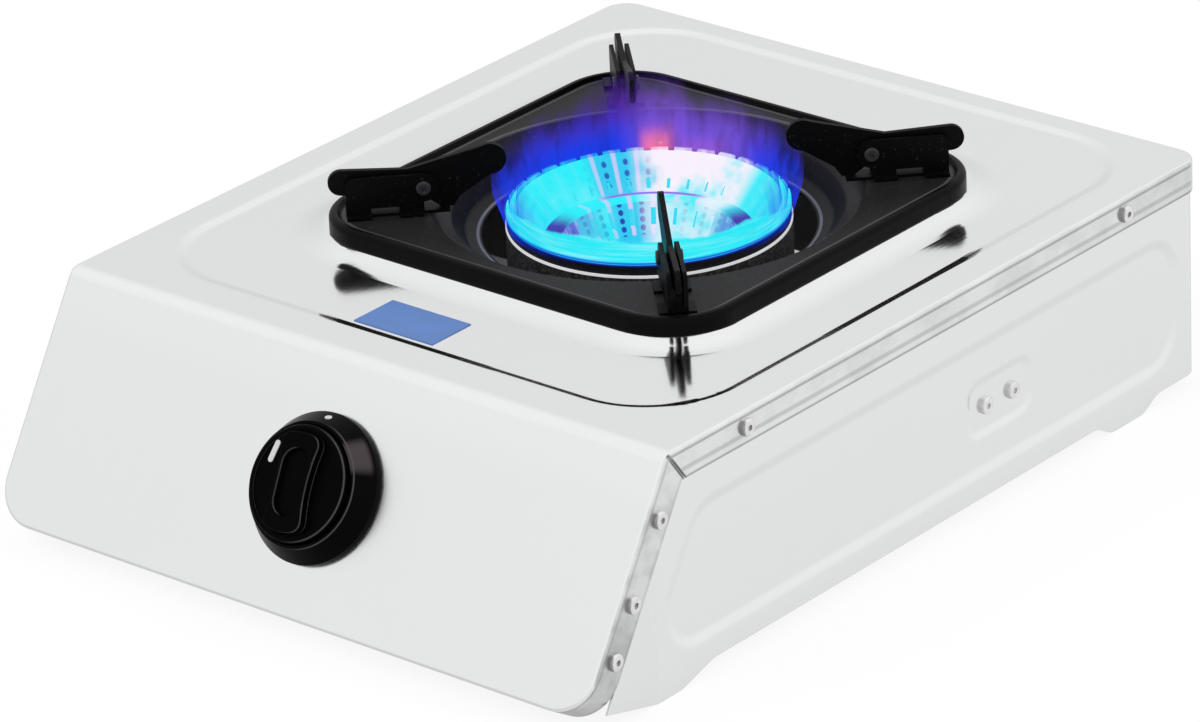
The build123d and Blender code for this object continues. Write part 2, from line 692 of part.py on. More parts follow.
def arm_bracket():
    """Bent bracket of a pan support in its own plane."""
    floor = TRAY_FLAT - TOP_HEIGHT
    top = ARM_PIVOT_HEIGHT + CHEEK_NOSE
    pivot = Pos(ARM_PIVOT, ARM_PIVOT_HEIGHT)
    cheek = make_face(Polyline(
        (ARM_PIVOT, floor), (CHEEK_OUTER, floor), (CHEEK_OUTER, top), (ARM_PIVOT, top), close=True))
    upper_end = cheek.vertices().group_by(Axis.X)[-1].sort_by(Axis.Y)[-1]
    cheek = fillet(upper_end, CHEEK_ROUND) + pivot * Circle(CHEEK_NOSE)
    notch_middle = (CHEEK_NOTCH_START + CHEEK_NOTCH_END) / 2
    notch = Rectangle(CHEEK_NOTCH_END - CHEEK_NOTCH_START, CHEEK_NOTCH_HEIGHT)
    cheek -= Pos(notch_middle, floor + ARM_BASE + CHEEK_NOTCH_HEIGHT / 2) * notch
    cheek -= pivot * Circle(RIVET_RADIUS + HOLE_CLEARANCE)
    span = CHEEK_SPACING + 2 * CHEEK_THICKNESS
    cheeks = extrude(Pos(0, 0, -span / 2) * cheek, span)
    cheeks -= Pos(ARM_PIVOT, ARM_PIVOT_HEIGHT, 0) * Box(4 * CHEEK_OUTER, 4 * CHEEK_OUTER, CHEEK_SPACING)
    level = floor + ARM_BASE / 2
    bracket = cheeks + Pos((CHEEK_OUTER + ARM_BASE_INNER) / 2, level, 0) * Box(
        CHEEK_OUTER - ARM_BASE_INNER, ARM_BASE, span)
    for start, end in ((ARM_TAB_INNER, CHEEK_NOTCH_START), (CHEEK_NOTCH_END, CHEEK_OUTER)):
        bracket += Pos((start + end) / 2, level, 0) * Box(end - start, ARM_BASE, span + 2 * ARM_TAB)
    return bracket


def arm_blade():
    """Rocking blade of a pan support in its own plane."""
    tip = (BLADE_TIP, BLADE_TIP_HEIGHT)
    heel = ARM_FLOOR - TOP_HEIGHT
    outline = make_face(Polyline(
        (BLADE_TIP, BLADE_TIP_HEIGHT + BLADE_TIP_RADIUS),
        (BLADE_DIP, BLADE_DIP_HEIGHT),
        (BLADE_LOBE, BLADE_LOBE_HEIGHT),
        (BLADE_LOBE - BLADE_LOBE_RADIUS, BLADE_LOBE_HEIGHT - BLADE_LOBE_RADIUS),
        (BLADE_LOBE, BLADE_LOBE_HEIGHT - 2 * BLADE_LOBE_RADIUS),
        (BLADE_THROAT, BLADE_THROAT_HEIGHT),
        (BLADE_HEEL_START, heel),
        (BLADE_HEEL_END, heel),
        (BLADE_BELLY, BLADE_BELLY_HEIGHT),
        (BLADE_TIP, BLADE_TIP_HEIGHT - BLADE_TIP_RADIUS),
        close=True))
    outline += Pos(*tip) * Circle(BLADE_TIP_RADIUS)
    outline += Pos(BLADE_LOBE, BLADE_LOBE_HEIGHT - BLADE_LOBE_RADIUS) * Circle(BLADE_LOBE_RADIUS)
    outline -= Pos(ARM_PIVOT, ARM_PIVOT_HEIGHT) * Circle(RIVET_RADIUS + PIVOT_CLEARANCE)
    return extrude(Pos(0, 0, -BLADE_THICKNESS / 2) * outline, BLADE_THICKNESS)


def arm_rivet():
    """Rivet that a pan support's blade rocks on, in the support's plane."""
    span = CHEEK_SPACING + 2 * CHEEK_THICKNESS
    rivet = Cylinder(RIVET_RADIUS, span)
    for side in (-1, 1):
        head = Pos(0, 0, side * (span + RIVET_HEAD_HEIGHT) / 2) * Cylinder(
            RIVET_HEAD_RADIUS, RIVET_HEAD_HEIGHT)
        ends = head.edges().sort_by(Axis.Z)
        head = fillet(ends[-1] if side > 0 else ends[0], RIVET_HEAD_HEIGHT / 2)
        rivet += head
        rivet -= Pos(0, 0, side * (span / 2 + RIVET_HEAD_HEIGHT)) * Cylinder(
            RIVET_DIMPLE, RIVET_HEAD_HEIGHT)
    return Pos(ARM_PIVOT, ARM_PIVOT_HEIGHT, 0) * rivet


# Cast burner with its mixing tube
def burner_body():
    low = BRACKET_TOP
    inner = BURNER_RADIUS - BURNER_WALL
    axis = Pos(0, AXIS_Y, 0)
    along = Plane(origin=(0, AXIS_Y, TUBE_HEIGHT), x_dir=(1, 0, 0), z_dir=(0, -1, 0))
    body = axis * tube_along_z(BURNER_RADIUS, inner, low, BURNER_RIM)
    body += axis * extrude(Pos(0, 0, low) * Circle(BURNER_RADIUS), BURNER_FLOOR)
    body += along * extrude(Pos(0, 0, inner) * Circle(TUBE_RADIUS), TUBE_REACH - inner)
    body += along * extrude(Pos(0, 0, TUBE_REACH) * Circle(MOUTH_RADIUS), -MOUTH_LENGTH)
    body -= along * extrude(Pos(0, 0, inner - TUBE_BORE) * Circle(TUBE_BORE), TUBE_REACH)
    lug_low = BURNER_RIM - SPARK_LUG_DROP
    lug = spark_place() * Pos(-SPARK_OFFSET, 0, lug_low + SPARK_LUG_THICKNESS / 2) * Box(
        4 * SPARK_OFFSET, 4 * SPARK_INSULATOR_RADIUS, SPARK_LUG_THICKNESS)
    body += lug - axis * Cylinder(BURNER_RADIUS - BURNER_WALL / 2, 4 * BURNER_RIM)
    body -= spark_place() * Pos(0, 0, lug_low) * Cylinder(
        SPARK_INSULATOR_RADIUS + HOLE_CLEARANCE, 4 * SPARK_LUG_THICKNESS)
    for side in (-1, 1):
        place = Pos(side * BURNER_SCREW_SPREAD / 2, BRACKET_Y, low)
        body -= place * Cylinder(SCREW_HOLE, 2 * BURNER_SCREW_LENGTH)
    return body


def spark_place():
    """Place of the spark electrode's upright axis."""
    radius = BURNER_RADIUS + SPARK_OFFSET
    angle = math.radians(SPARK_ANGLE)
    return Pos(radius * math.cos(angle), AXIS_Y + radius * math.sin(angle), 0) * Rot(0, 0, SPARK_ANGLE)


def fire_ring():
    top = TOP_HEIGHT + FIRE_RING_TOP
    cone_foot = top - FIRE_CONE_DROP
    lip = FIRE_CONE_FOOT - FIRE_LIP
    spigot = BURNER_RADIUS - BURNER_WALL - SPIGOT_CLEARANCE
    slope = FIRE_CONE_DROP / (FIRE_RING_RADIUS - FIRE_RING_TOP - FIRE_CONE_FOOT)
    spigot_low = BURNER_RIM - SPIGOT_DEPTH
    under = FIRE_CONE_FOOT + (spigot_low + FIRE_RING_WALL - cone_foot) / slope
    ring = revolved((
        (FIRE_RING_RADIUS, BURNER_RIM),
        (FIRE_RING_RADIUS, top),
        (FIRE_RING_RADIUS - FIRE_RING_TOP, top),
        (FIRE_CONE_FOOT, cone_foot),
        (lip, cone_foot),
        (lip, cone_foot - FIRE_LIP_THICKNESS),
        (FIRE_CONE_FOOT, cone_foot - FIRE_LIP_THICKNESS),
        (under, spigot_low),
        (spigot, spigot_low),
        (spigot, BURNER_RIM),
    ))
    slots = []
    for index in range(FIRE_SLOTS):
        turn = Pos(0, AXIS_Y, 0) * Rot(0, 0, 360 * index / FIRE_SLOTS)
        slots.append(turn * Pos(FIRE_CONE_FOOT, 0, cone_foot + FIRE_SLOT_HEIGHT / 2 + CUP_FLANGE) * Box(
            4 * FIRE_RING_WALL, FIRE_SLOT_WIDTH, FIRE_SLOT_HEIGHT))
        slots.append(turn * Pos(FIRE_RING_RADIUS, 0, top) * Box(
            4 * FIRE_RING_WALL, TOOTH_GAP, 2 * TOOTH_DEPTH))
    return ring - slots


def fire_cup():
    seat = TOP_HEIGHT + FIRE_RING_TOP - FIRE_CONE_DROP
    mouth = seat + CUP_FLANGE
    floor = mouth - CUP_DEPTH
    lip = FIRE_CONE_FOOT - FIRE_LIP - CUP_CLEARANCE
    flange = FIRE_CONE_FOOT - CUP_CLEARANCE
    cup = revolved((
        (flange, seat),
        (flange, mouth),
        (CUP_MOUTH, mouth),
        (CUP_FLOOR_RADIUS, floor),
        (0, floor),
        (0, floor - CUP_WALL),
        (CUP_FLOOR_RADIUS + CUP_WALL, floor - CUP_WALL),
        (lip, seat - CUP_WALL),
        (lip, seat),
    ))
    slots = []
    for index in range(CUP_SLOTS):
        turn = Pos(0, AXIS_Y, 0) * Rot(0, 0, 360 * (index + 0.5) / CUP_SLOTS)
        slots.append(turn * Pos(CUP_MOUTH, 0, floor + CUP_DEPTH / 2) * Box(
            CUP_MOUTH / 2, CUP_SLOT_WIDTH, CUP_DEPTH / 2))
    return cup - slots


def air_shutter():
    along = Plane(origin=(0, SHUTTER_FRONT_Y, TUBE_HEIGHT), x_dir=(1, 0, 0), z_dir=(0, 1, 0))
    bore = MOUTH_RADIUS + SHUTTER_CLEARANCE
    collar = tube_along_z(bore + SHUTTER_WALL, bore, 0, SHUTTER_LENGTH)
    plate = tube_along_z(bore + SHUTTER_WALL, JET_RADIUS + JET_CLEARANCE, 0, SHUTTER_WALL)
    shutter = collar + plate
    for index in range(SHUTTER_WINDOWS):
        turn = Rot(0, 0, 360 * index / SHUTTER_WINDOWS + 30)
        shutter -= turn * Pos((bore + JET_RADIUS + JET_CLEARANCE) / 2, 0, 0) * Cylinder(
            SHUTTER_WINDOW_RADIUS, SHUTTER_LENGTH)
    tab = Pos(0, -bore - SHUTTER_WALL / 2 - SHUTTER_TAB / 2, SHUTTER_WALL / 2) * Box(
        SHUTTER_TAB, SHUTTER_TAB, SHUTTER_WALL)
    return along * (shutter + tab)


def jet():
    along = Plane(origin=(0, OUTLET_FACE_Y, TUBE_HEIGHT), x_dir=(1, 0, 0), z_dir=(0, 1, 0))
    hexagon = extrude(RegularPolygon(JET_HEX, 6), JET_HEX_LENGTH)
    nose = Pos(0, 0, JET_HEX_LENGTH) * Cylinder(
        JET_RADIUS, JET_NOSE, align=(Align.CENTER, Align.CENTER, Align.MIN))
    nose = fillet(nose.edges().group_by(Axis.Z)[-1], JET_RADIUS / 2)
    bore = Cylinder(JET_BORE, 4 * (JET_HEX_LENGTH + JET_NOSE))
    return along * (hexagon + nose - bore)


# Valve on its plate behind the front sheet
def gas_valve():
    back = SHEET + VALVE_PLATE
    valve = KNOB_PLANE * extrude(Pos(0, 0, -back) * Circle(VALVE_RADIUS), -VALVE_LENGTH)
    valve += KNOB_PLANE * extrude(Pos(0, 0, -back) * Circle(NECK_RADIUS), back)
    arm_top = TUBE_HEIGHT + OUTLET_CAP
    arm_start = slope_y(arm_top, back + EDGE_INSET)
    valve += Pos(0, (arm_start + OUTLET_FACE_Y) / 2, TUBE_HEIGHT) * Box(
        OUTLET_WIDTH, OUTLET_FACE_Y - arm_start, 2 * OUTLET_CAP)
    boss = Plane(origin=inlet_start(), z_dir=(1, 0, 0))
    valve += boss * extrude(Circle(INLET_BOSS), VALVE_RADIUS + INLET_BOSS_LENGTH)
    clip = VALVE_RADIUS + PIEZO_CLIP
    valve += KNOB_PLANE * Pos(-clip / 2, PIEZO_UP, PIEZO_DEPTH) * Box(clip, PIEZO_RADIUS, PIEZO_RADIUS)
    bore_depth = STEM_DEPTH + KNOB_TRAVEL + EDGE_GAP
    valve -= KNOB_PLANE * extrude(Circle(STEM_RADIUS + STEM_CLEARANCE), -bore_depth)
    outlet = Plane(origin=(0, OUTLET_FACE_Y, TUBE_HEIGHT), z_dir=(0, -1, 0))
    return valve - outlet * extrude(Circle(JET_RADIUS / 2), OUTLET_WIDTH)


def inlet_start():
    """Where the inlet pipe meets the valve's boss."""
    back = -SHEET - VALVE_PLATE
    depth = (TOP_HEIGHT - LEAN_COS * KNOB_DOWN - PIPE_HEIGHT) / LEAN_SIN
    y = BEND_Y - LEAN_SIN * KNOB_DOWN + LEAN_COS * min(depth, VALVE_LENGTH - back - INLET_BOSS)
    return (-VALVE_RADIUS - INLET_BOSS_LENGTH, y, PIPE_HEIGHT)


def valve_plate():
    plate = Box(VALVE_PLATE_LENGTH, VALVE_PLATE_WIDTH, VALVE_PLATE)
    plate = fillet(plate.edges().filter_by(Axis.Z), VALVE_PLATE_WIDTH / 4)
    plate -= Cylinder(NECK_RADIUS + HOLE_CLEARANCE, 2 * VALVE_PLATE)
    for side in (-1, 1):
        plate -= Pos(side * VALVE_SCREW_PITCH / 2, 0, 0) * Cylinder(SCREW_HOLE, 2 * VALVE_PLATE)
    return KNOB_PLANE * Pos(0, 0, -SHEET - VALVE_PLATE / 2) * plate


def d_shaft(radius, flat, low, high):
    """Shaft with one flat, along Z."""
    shaft = Pos(0, 0, low) * Cylinder(
        radius, high - low, align=(Align.CENTER, Align.CENTER, Align.MIN))
    keep = Pos(0, -flat / 2, 0) * Box(4 * radius, 2 * radius - flat, 4 * (high - low))
    return shaft & keep


def valve_stem():
    round_top = KNOB_FOOT + HOLE_CLEARANCE
    stem = Pos(0, 0, -STEM_DEPTH) * Cylinder(
        STEM_RADIUS, STEM_DEPTH + round_top, align=(Align.CENTER, Align.CENTER, Align.MIN))
    stem += d_shaft(STEM_RADIUS, STEM_FLAT, 0, KNOB_FOOT + STEM_SOCKET)
    return KNOB_PLANE * stem


def knob():
    body = Pos(0, 0, KNOB_FOOT) * Cylinder(
        KNOB_RADIUS, KNOB_FACE - KNOB_FOOT, align=(Align.CENTER, Align.CENTER, Align.MIN))
    body = fillet(body.edges().group_by(Axis.Z)[-1], KNOB_ROUND)
    dish_floor = KNOB_FACE - KNOB_DISH
    body -= Pos(0, 0, dish_floor) * Cylinder(
        KNOB_RADIUS - KNOB_RIM, KNOB_FACE, align=(Align.CENTER, Align.CENTER, Align.MIN))
    half_length = GRIP_LENGTH / 2
    half_width = GRIP_WIDTH / 2
    sides = ThreePointArc(
        (-half_width, half_length), (-half_width + GRIP_WAIST, 0), (-half_width, -half_length))
    sides += ThreePointArc(
        (-half_width, -half_length), (0, -half_length - GRIP_WAIST), (half_width, -half_length))
    sides += ThreePointArc(
        (half_width, -half_length), (half_width - GRIP_WAIST, 0), (half_width, half_length))
    sides += ThreePointArc(
        (half_width, half_length), (0, half_length + GRIP_WAIST), (-half_width, half_length))
    grip = extrude(Pos(0, 0, dish_floor) * make_face(sides.edges()), KNOB_DISH + GRIP_RISE)
    grip = fillet(grip.edges().filter_by(Axis.Z), GRIP_CORNER)
    grip = fillet(grip.edges().group_by(Axis.Z)[-1], GRIP_ROUND)
    pocket_floor = Pos(0, 0, KNOB_FACE + GRIP_RISE - POCKET_DEPTH) * SlotOverall(
        POCKET_LENGTH, POCKET_WIDTH, rotation=90)
    grip -= extrude(pocket_floor, POCKET_DEPTH, taper=-POCKET_TAPER)
    body += Rot(0, 0, GRIP_TURN) * grip
    socket = d_shaft(
        STEM_RADIUS + HOLE_CLEARANCE, STEM_FLAT, 0, KNOB_FOOT + STEM_SOCKET + HOLE_CLEARANCE)
    body -= socket
    body -= Cylinder(STEM_RADIUS + HOLE_CLEARANCE, 2 * (KNOB_FOOT + 2 * HOLE_CLEARANCE))
    return KNOB_PLANE * body


def knob_pointer():
    bar = SlotOverall(POINTER_LENGTH, POINTER_WIDTH, rotation=90 + POINTER_TURN)
    floor = KNOB_FACE - KNOB_DISH
    return KNOB_PLANE * extrude(Pos(-POINTER_LEFT, POINTER_UP, floor) * bar, POINTER_RISE)


def bezel():
    inner = BEZEL_TOP_RADIUS - BEZEL_WALL
    outline = make_face(Polyline(
        (BEZEL_HOLE, 0),
        (BEZEL_RADIUS, 0),
        (BEZEL_RADIUS, BEZEL_RIM),
        (BEZEL_TOP_RADIUS, BEZEL_TOP),
        (inner, BEZEL_TOP),
        (inner, BEZEL_FLOOR),
        (BEZEL_HOLE, BEZEL_FLOOR),
        close=True))
    collar = revolve(Plane.XZ * outline, Axis.Z)
    for side in (-1, 1):
        collar -= Pos(side * VALVE_SCREW_PITCH / 2, 0, 0) * Cylinder(
            SCREW_HEAD_RADIUS + EDGE_GAP, 4 * BEZEL_FLOOR)
    return KNOB_PLANE * collar


def bezel_mark():
    middle = (BEZEL_RADIUS + BEZEL_TOP_RADIUS) / 2
    rise = (BEZEL_RIM + BEZEL_TOP) / 2
    lean = math.degrees(math.atan2(BEZEL_TOP - BEZEL_RIM, BEZEL_RADIUS - BEZEL_TOP_RADIUS))
    dot = Cylinder(MARK_RADIUS, MARK_RISE, align=(Align.CENTER, Align.CENTER, Align.MIN))
    return KNOB_PLANE * Pos(0, middle, rise) * Rot(-lean, 0, 0) * dot


def spring_seat():
    washer = tube_along_z(
        SEAT_WASHER_RADIUS, STEM_RADIUS + STEM_CLEARANCE, KNOB_FOOT - SEAT_WASHER_THICKNESS, KNOB_FOOT)
    return KNOB_PLANE * washer


def stem_spring():
    low = SPRING_WIRE / 2
    high = KNOB_FOOT - SEAT_WASHER_THICKNESS - SPRING_WIRE / 2
    coil = Helix((high - low) / SPRING_TURNS, high - low, SPRING_RADIUS, center=(0, 0, low))
    section = Plane(origin=coil @ 0, z_dir=coil % 0) * Circle(SPRING_WIRE / 2)
    return KNOB_PLANE * sweep(section, path=coil)


# Gas inlet at the rear left
def inlet_pipe():
    start = inlet_start()
    end_y = REAR_FACE_Y
    route = FilletPolyline(
        start, (-PIPE_LEFT, start[1], PIPE_HEIGHT), (-PIPE_LEFT, end_y, PIPE_HEIGHT), radius=PIPE_BEND)
    section = Plane(origin=start, z_dir=(-1, 0, 0)) * (Circle(PIPE_RADIUS) - Circle(PIPE_BORE))
    return sweep(section, path=route)


def inlet_nipple():
    along = Plane(origin=(-PIPE_LEFT, REAR_FACE_Y, PIPE_HEIGHT), x_dir=(1, 0, 0), z_dir=(0, 1, 0))
    length = REAR_Y + NIPPLE_OUT - REAR_FACE_Y
    points = [(NIPPLE_BORE, 0), (NUT_ACROSS / 2, 0), (NUT_ACROSS / 2, SHEET), (NIPPLE_RADIUS, SHEET)]
    first = length - NIPPLE_BARBS * NIPPLE_BARB_PITCH
    for index in range(NIPPLE_BARBS):
        low = first + index * NIPPLE_BARB_PITCH
        points.append((NIPPLE_RADIUS, low))
        points.append((NIPPLE_BARB, low))
    points.append((NIPPLE_RADIUS, length))
    points.append((NIPPLE_BORE, length))
    return along * revolve(Plane.XZ * make_face(Polyline(*points, close=True)), Axis.Z)


def inlet_nut():
    inner = REAR_FACE_Y - SHEET
    along = Plane(origin=(-PIPE_LEFT, inner, PIPE_HEIGHT), x_dir=(1, 0, 0), z_dir=(0, -1, 0))
    nut = extrude(RegularPolygon(NUT_ACROSS / 2, 6, major_radius=False), NUT_LENGTH)
    return along * (nut - Cylinder(PIPE_RADIUS + HOLE_CLEARANCE, 4 * NUT_LENGTH))


# Spark electrode, its insulator and its lead
def spark_insulator():
    low = BURNER_RIM - SPARK_LUG_DROP
    shoulder = low + SPARK_LUG_THICKNESS
    rod = tube_along_z(
        SPARK_INSULATOR_RADIUS, SPARK_TIP_RADIUS, low, shoulder + SPARK_INSULATOR_HEIGHT)
    collar = tube_along_z(
        SPARK_COLLAR_RADIUS, SPARK_TIP_RADIUS, shoulder, shoulder + SPARK_COLLAR_HEIGHT)
    return spark_place() * (rod + collar)


def spark_electrode():
    low = BURNER_RIM - SPARK_LUG_DROP
    high = TOP_HEIGHT + FIRE_RING_TOP - SPARK_TIP_DROP
    wire = Pos(0, 0, low) * Cylinder(
        SPARK_TIP_RADIUS, high - low, align=(Align.CENTER, Align.CENTER, Align.MIN))
    return spark_place() * wire


def spark_lead():
    foot = spark_place().position
    start = (foot.X, foot.Y, BURNER_RIM - SPARK_LUG_DROP)
    level = BRACKET_TOP + LEAD_RADIUS
    end = (piezo_place() * Pos(0, 0, -PIEZO_LENGTH / 2)).position
    turn = (piezo_place() * Pos(0, 0, -PIEZO_LENGTH / 2 - LEAD_TAIL)).position
    route = FilletPolyline(
        start,
        (foot.X, foot.Y, level),
        (-LEAD_LEFT, foot.Y, level),
        (-LEAD_LEFT, turn.Y, level),
        (-LEAD_LEFT, turn.Y, turn.Z),
        turn,
        end,
        radius=LEAD_BEND)
    section = Plane(origin=start, z_dir=(0, 0, -1)) * Circle(LEAD_RADIUS)
    return sweep(section, path=route)


def piezo_place():
    """Place of the spark unit, beside the valve's body and in line with it."""
    return KNOB_PLANE * Pos(-VALVE_RADIUS - PIEZO_CLIP - PIEZO_RADIUS, PIEZO_UP, PIEZO_DEPTH)


def piezo_unit():
    body = Cylinder(PIEZO_RADIUS, PIEZO_LENGTH)
    return piezo_place() * fillet(body.edges().filter_by(GeomType.CIRCLE), PIEZO_RADIUS / 6)


def rating_plate():
    plate = Box(PLATE_LENGTH, PLATE_DEPTH, PLATE_THICKNESS, align=(Align.CENTER, Align.CENTER, Align.MIN))
    return Pos(-PLATE_LEFT, BEND_Y + PLATE_FRONT, RECESS_FLOOR) * plate


def side_screws(points, x, length):
    """Screws through both sides at (y, z) points, heads on the plane at x."""
    pieces = []
    for y, z in points:
        for place in side_places(y, z, x):
            pieces.append(place * screw(SCREW_HEAD_RADIUS, SCREW_HEAD_HEIGHT, length))
    return group(pieces)


def rear_screws():
    pieces = []
    face = REAR_Y - SHEET - LAP_GAP
    for x, z in rear_screw_points():
        for side in (-1, 1):
            place = Plane(origin=(side * x, face, z), x_dir=(-1, 0, 0), z_dir=(0, 1, 0))
            pieces.append(place * screw(SCREW_HEAD_RADIUS, SCREW_HEAD_HEIGHT, SCREW_LENGTH))
    return group(pieces)


def valve_screws():
    pieces = []
    for side in (-1, 1):
        place = KNOB_PLANE * Pos(side * VALVE_SCREW_PITCH / 2, 0, 0)
        pieces.append(place * screw(SCREW_HEAD_RADIUS, VALVE_SCREW_HEAD, SCREW_LENGTH))
    return group(pieces)


def burner_screws():
    pieces = []
    face = BRACKET_TOP - BRACKET_SHEET
    for side in (-1, 1):
        place = Pos(side * BURNER_SCREW_SPREAD / 2, BRACKET_Y, face) * Rot(180, 0, 0)
        pieces.append(place * screw(SCREW_HEAD_RADIUS, SCREW_HEAD_HEIGHT, BURNER_SCREW_LENGTH))
    return group(pieces)


def main():
    os.makedirs("parts", exist_ok=True)
    right = side_panel()
    write("top_front_panel", top_front_panel())
    write("side_panel_right", right)
    write("side_panel_left", mirror(right, Plane.YZ))
    write("rear_panel", rear_panel())
    write("burner_bracket", burner_bracket())
    write("pan_tray", pan_tray())
    for index, name in enumerate(ARM_NAMES):
        place = arm_plane(index)
        write("arm_bracket_" + name, place * arm_bracket())
        write("arm_blade_" + name, place * arm_blade())
        write("arm_rivet_" + name, place * arm_rivet())
    write("burner_body", burner_body())
    write("fire_ring", fire_ring())
    write("fire_cup", fire_cup())
    write("air_shutter", air_shutter())
    write("jet", jet())
    write("gas_valve", gas_valve())
    write("valve_plate", valve_plate())
    write("valve_stem", valve_stem())
    write("knob", knob())
    write("knob_pointer", knob_pointer())
    write("bezel", bezel())
    write("bezel_mark", bezel_mark())
    write("spring_seat", spring_seat())
    write("stem_spring", stem_spring())
    write("inlet_pipe", inlet_pipe())
    write("inlet_nipple", inlet_nipple())
    write("inlet_nut", inlet_nut())
    write("spark_insulator", spark_insulator())
    write("spark_electrode", spark_electrode())
    write("spark_lead", spark_lead())
    write("piezo_unit", piezo_unit())
    write("rating_plate", rating_plate())
    write("strip_screws", side_screws(STRIP_SCREW_POINTS, HALF, SCREW_LENGTH))
    write("strip_rivets", side_screws(strip_rivet_points(), HALF, SCREW_LENGTH))
    write("bracket_screws", side_screws(
        BRACKET_SCREW_POINTS, SIDE_FACE - SIDE_PRESS_DEPTH - PILL_DEPTH, SCREW_LENGTH))
    write("rear_screws", rear_screws())
    write("valve_screws", valve_screws())
    write("burner_screws", burner_screws())


main()
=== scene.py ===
# %% [markdown]
# # A single gas burner, dressed for its picture
# The solids of the stove come from CAD, each one a node that sits at the origin with its place in its mesh.
# This lesson keeps those solids, apart from one spring that it winds anew, gives every one of them a
# procedural finish, and adds the one thing that CAD can't hold: the flame. All lengths are in metres, +X is
# right, +Y is the rear and +Z is up.

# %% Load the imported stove
import bpy
import functools
import json
import math
from mathutils import Matrix, Vector


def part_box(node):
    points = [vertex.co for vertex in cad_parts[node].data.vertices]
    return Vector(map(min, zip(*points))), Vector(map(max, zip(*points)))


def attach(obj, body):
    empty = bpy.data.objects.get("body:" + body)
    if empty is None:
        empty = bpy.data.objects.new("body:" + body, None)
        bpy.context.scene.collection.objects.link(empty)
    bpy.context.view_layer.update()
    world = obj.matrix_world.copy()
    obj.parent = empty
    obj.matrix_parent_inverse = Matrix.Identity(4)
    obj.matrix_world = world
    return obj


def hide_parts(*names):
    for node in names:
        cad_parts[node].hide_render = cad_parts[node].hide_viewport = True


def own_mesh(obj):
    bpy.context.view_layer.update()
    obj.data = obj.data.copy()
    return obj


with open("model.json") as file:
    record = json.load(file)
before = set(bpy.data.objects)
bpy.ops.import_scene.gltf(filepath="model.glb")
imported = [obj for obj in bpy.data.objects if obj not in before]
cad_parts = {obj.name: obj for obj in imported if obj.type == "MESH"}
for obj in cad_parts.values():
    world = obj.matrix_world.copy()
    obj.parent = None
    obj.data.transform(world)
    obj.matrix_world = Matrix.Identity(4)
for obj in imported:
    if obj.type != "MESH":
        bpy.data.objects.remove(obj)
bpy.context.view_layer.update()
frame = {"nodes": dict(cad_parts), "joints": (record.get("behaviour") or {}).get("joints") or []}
nodes = frame["nodes"]

# %% [markdown]
# ## Where things are
# A few places are used again and again below: the burner's axis, the height of the top sheet, the line
# where the top bends down into the sloping front, and the knob's place and direction. They are read from
# the nodes and from the knob's joint, with two sizes of the CAD model that no box gives: the rise of the
# tray's seat over the top, and the distance from the bend to the burner's axis.

# %% Places taken from the nodes and joints
SEAT_RISE = 0.0015
BURNER_BACK = 0.1606
joints = {joint["name"]: joint for joint in frame["joints"]}
ring_low, ring_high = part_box("fire_ring")
cup_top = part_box("fire_cup")[1].z
axis_y = (ring_low.y + ring_high.y) / 2
ring_radius = (ring_high.x - ring_low.x) / 2
top_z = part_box("top_front_panel")[1].z - SEAT_RISE
bend_y = axis_y - BURNER_BACK
knob_place = Vector(joints["knob_turn"]["pos_m"])
knob_out = Vector(joints["knob_turn"]["axis"])
print("burner axis y:", round(axis_y, 5), "ring radius:", round(ring_radius, 5), "top z:", round(top_z, 5))

# %% [markdown]
# ## The camera
# The picture was taken from the front right, a little above, by a long lens from over two metres away, so
# the edges of the top run almost parallel. The camera's place is given from the middle of the bend line.
# Its axes are worked out from azimuth, elevation and a small roll, and go straight into its matrix.

# %% Camera
AZIMUTH = math.radians(40.93)
ELEVATION = math.radians(24.61)
ROLL = math.radians(-2.70)
FOCAL_PIXELS = 6990.0
PHOTO_WIDTH = 1200.0
SENSOR = 36.0
CLIP_END = 50.0
EYE_FROM_BEND = Vector((1.5295, -1.6346, 1.0187))
eye = Vector((0, bend_y, top_z)) + EYE_FROM_BEND

back = Vector((
    math.sin(AZIMUTH) * math.cos(ELEVATION),
    -math.cos(AZIMUTH) * math.cos(ELEVATION),
    math.sin(ELEVATION),
))
level_right = Vector((math.cos(AZIMUTH), math.sin(AZIMUTH), 0))
level_up = back.cross(level_right)
right = math.cos(ROLL) * level_right + math.sin(ROLL) * level_up
up = math.cos(ROLL) * level_up - math.sin(ROLL) * level_right

camera_data = bpy.data.cameras.new("photo_camera")
camera_data.sensor_fit = "HORIZONTAL"
camera_data.sensor_width = SENSOR
camera_data.lens = FOCAL_PIXELS / PHOTO_WIDTH * SENSOR
camera_data.clip_end = CLIP_END
camera = bpy.data.objects.new("photo_camera", camera_data)
camera.matrix_world = Matrix.Translation(eye) @ Matrix((right, up, back)).transposed().to_4x4()
bpy.context.scene.collection.objects.link(camera)
bpy.context.scene.camera = camera
print("lens:", round(camera_data.lens, 1), "mm at", tuple(round(c, 3) for c in eye))

# %% [markdown]
# ## Shader sums as plain Python
# A procedural finish is a lot of small sums. Instead of placing Math nodes by hand, the class below wraps
# one socket and overloads Python's operators, so `1 - mask * 0.3` adds the nodes that it needs.

# %% A socket that does arithmetic
def feed(slot, value):
    if isinstance(value, Wire):
        value.tree.links.new(value.socket, slot)
    else:
        slot.default_value = value


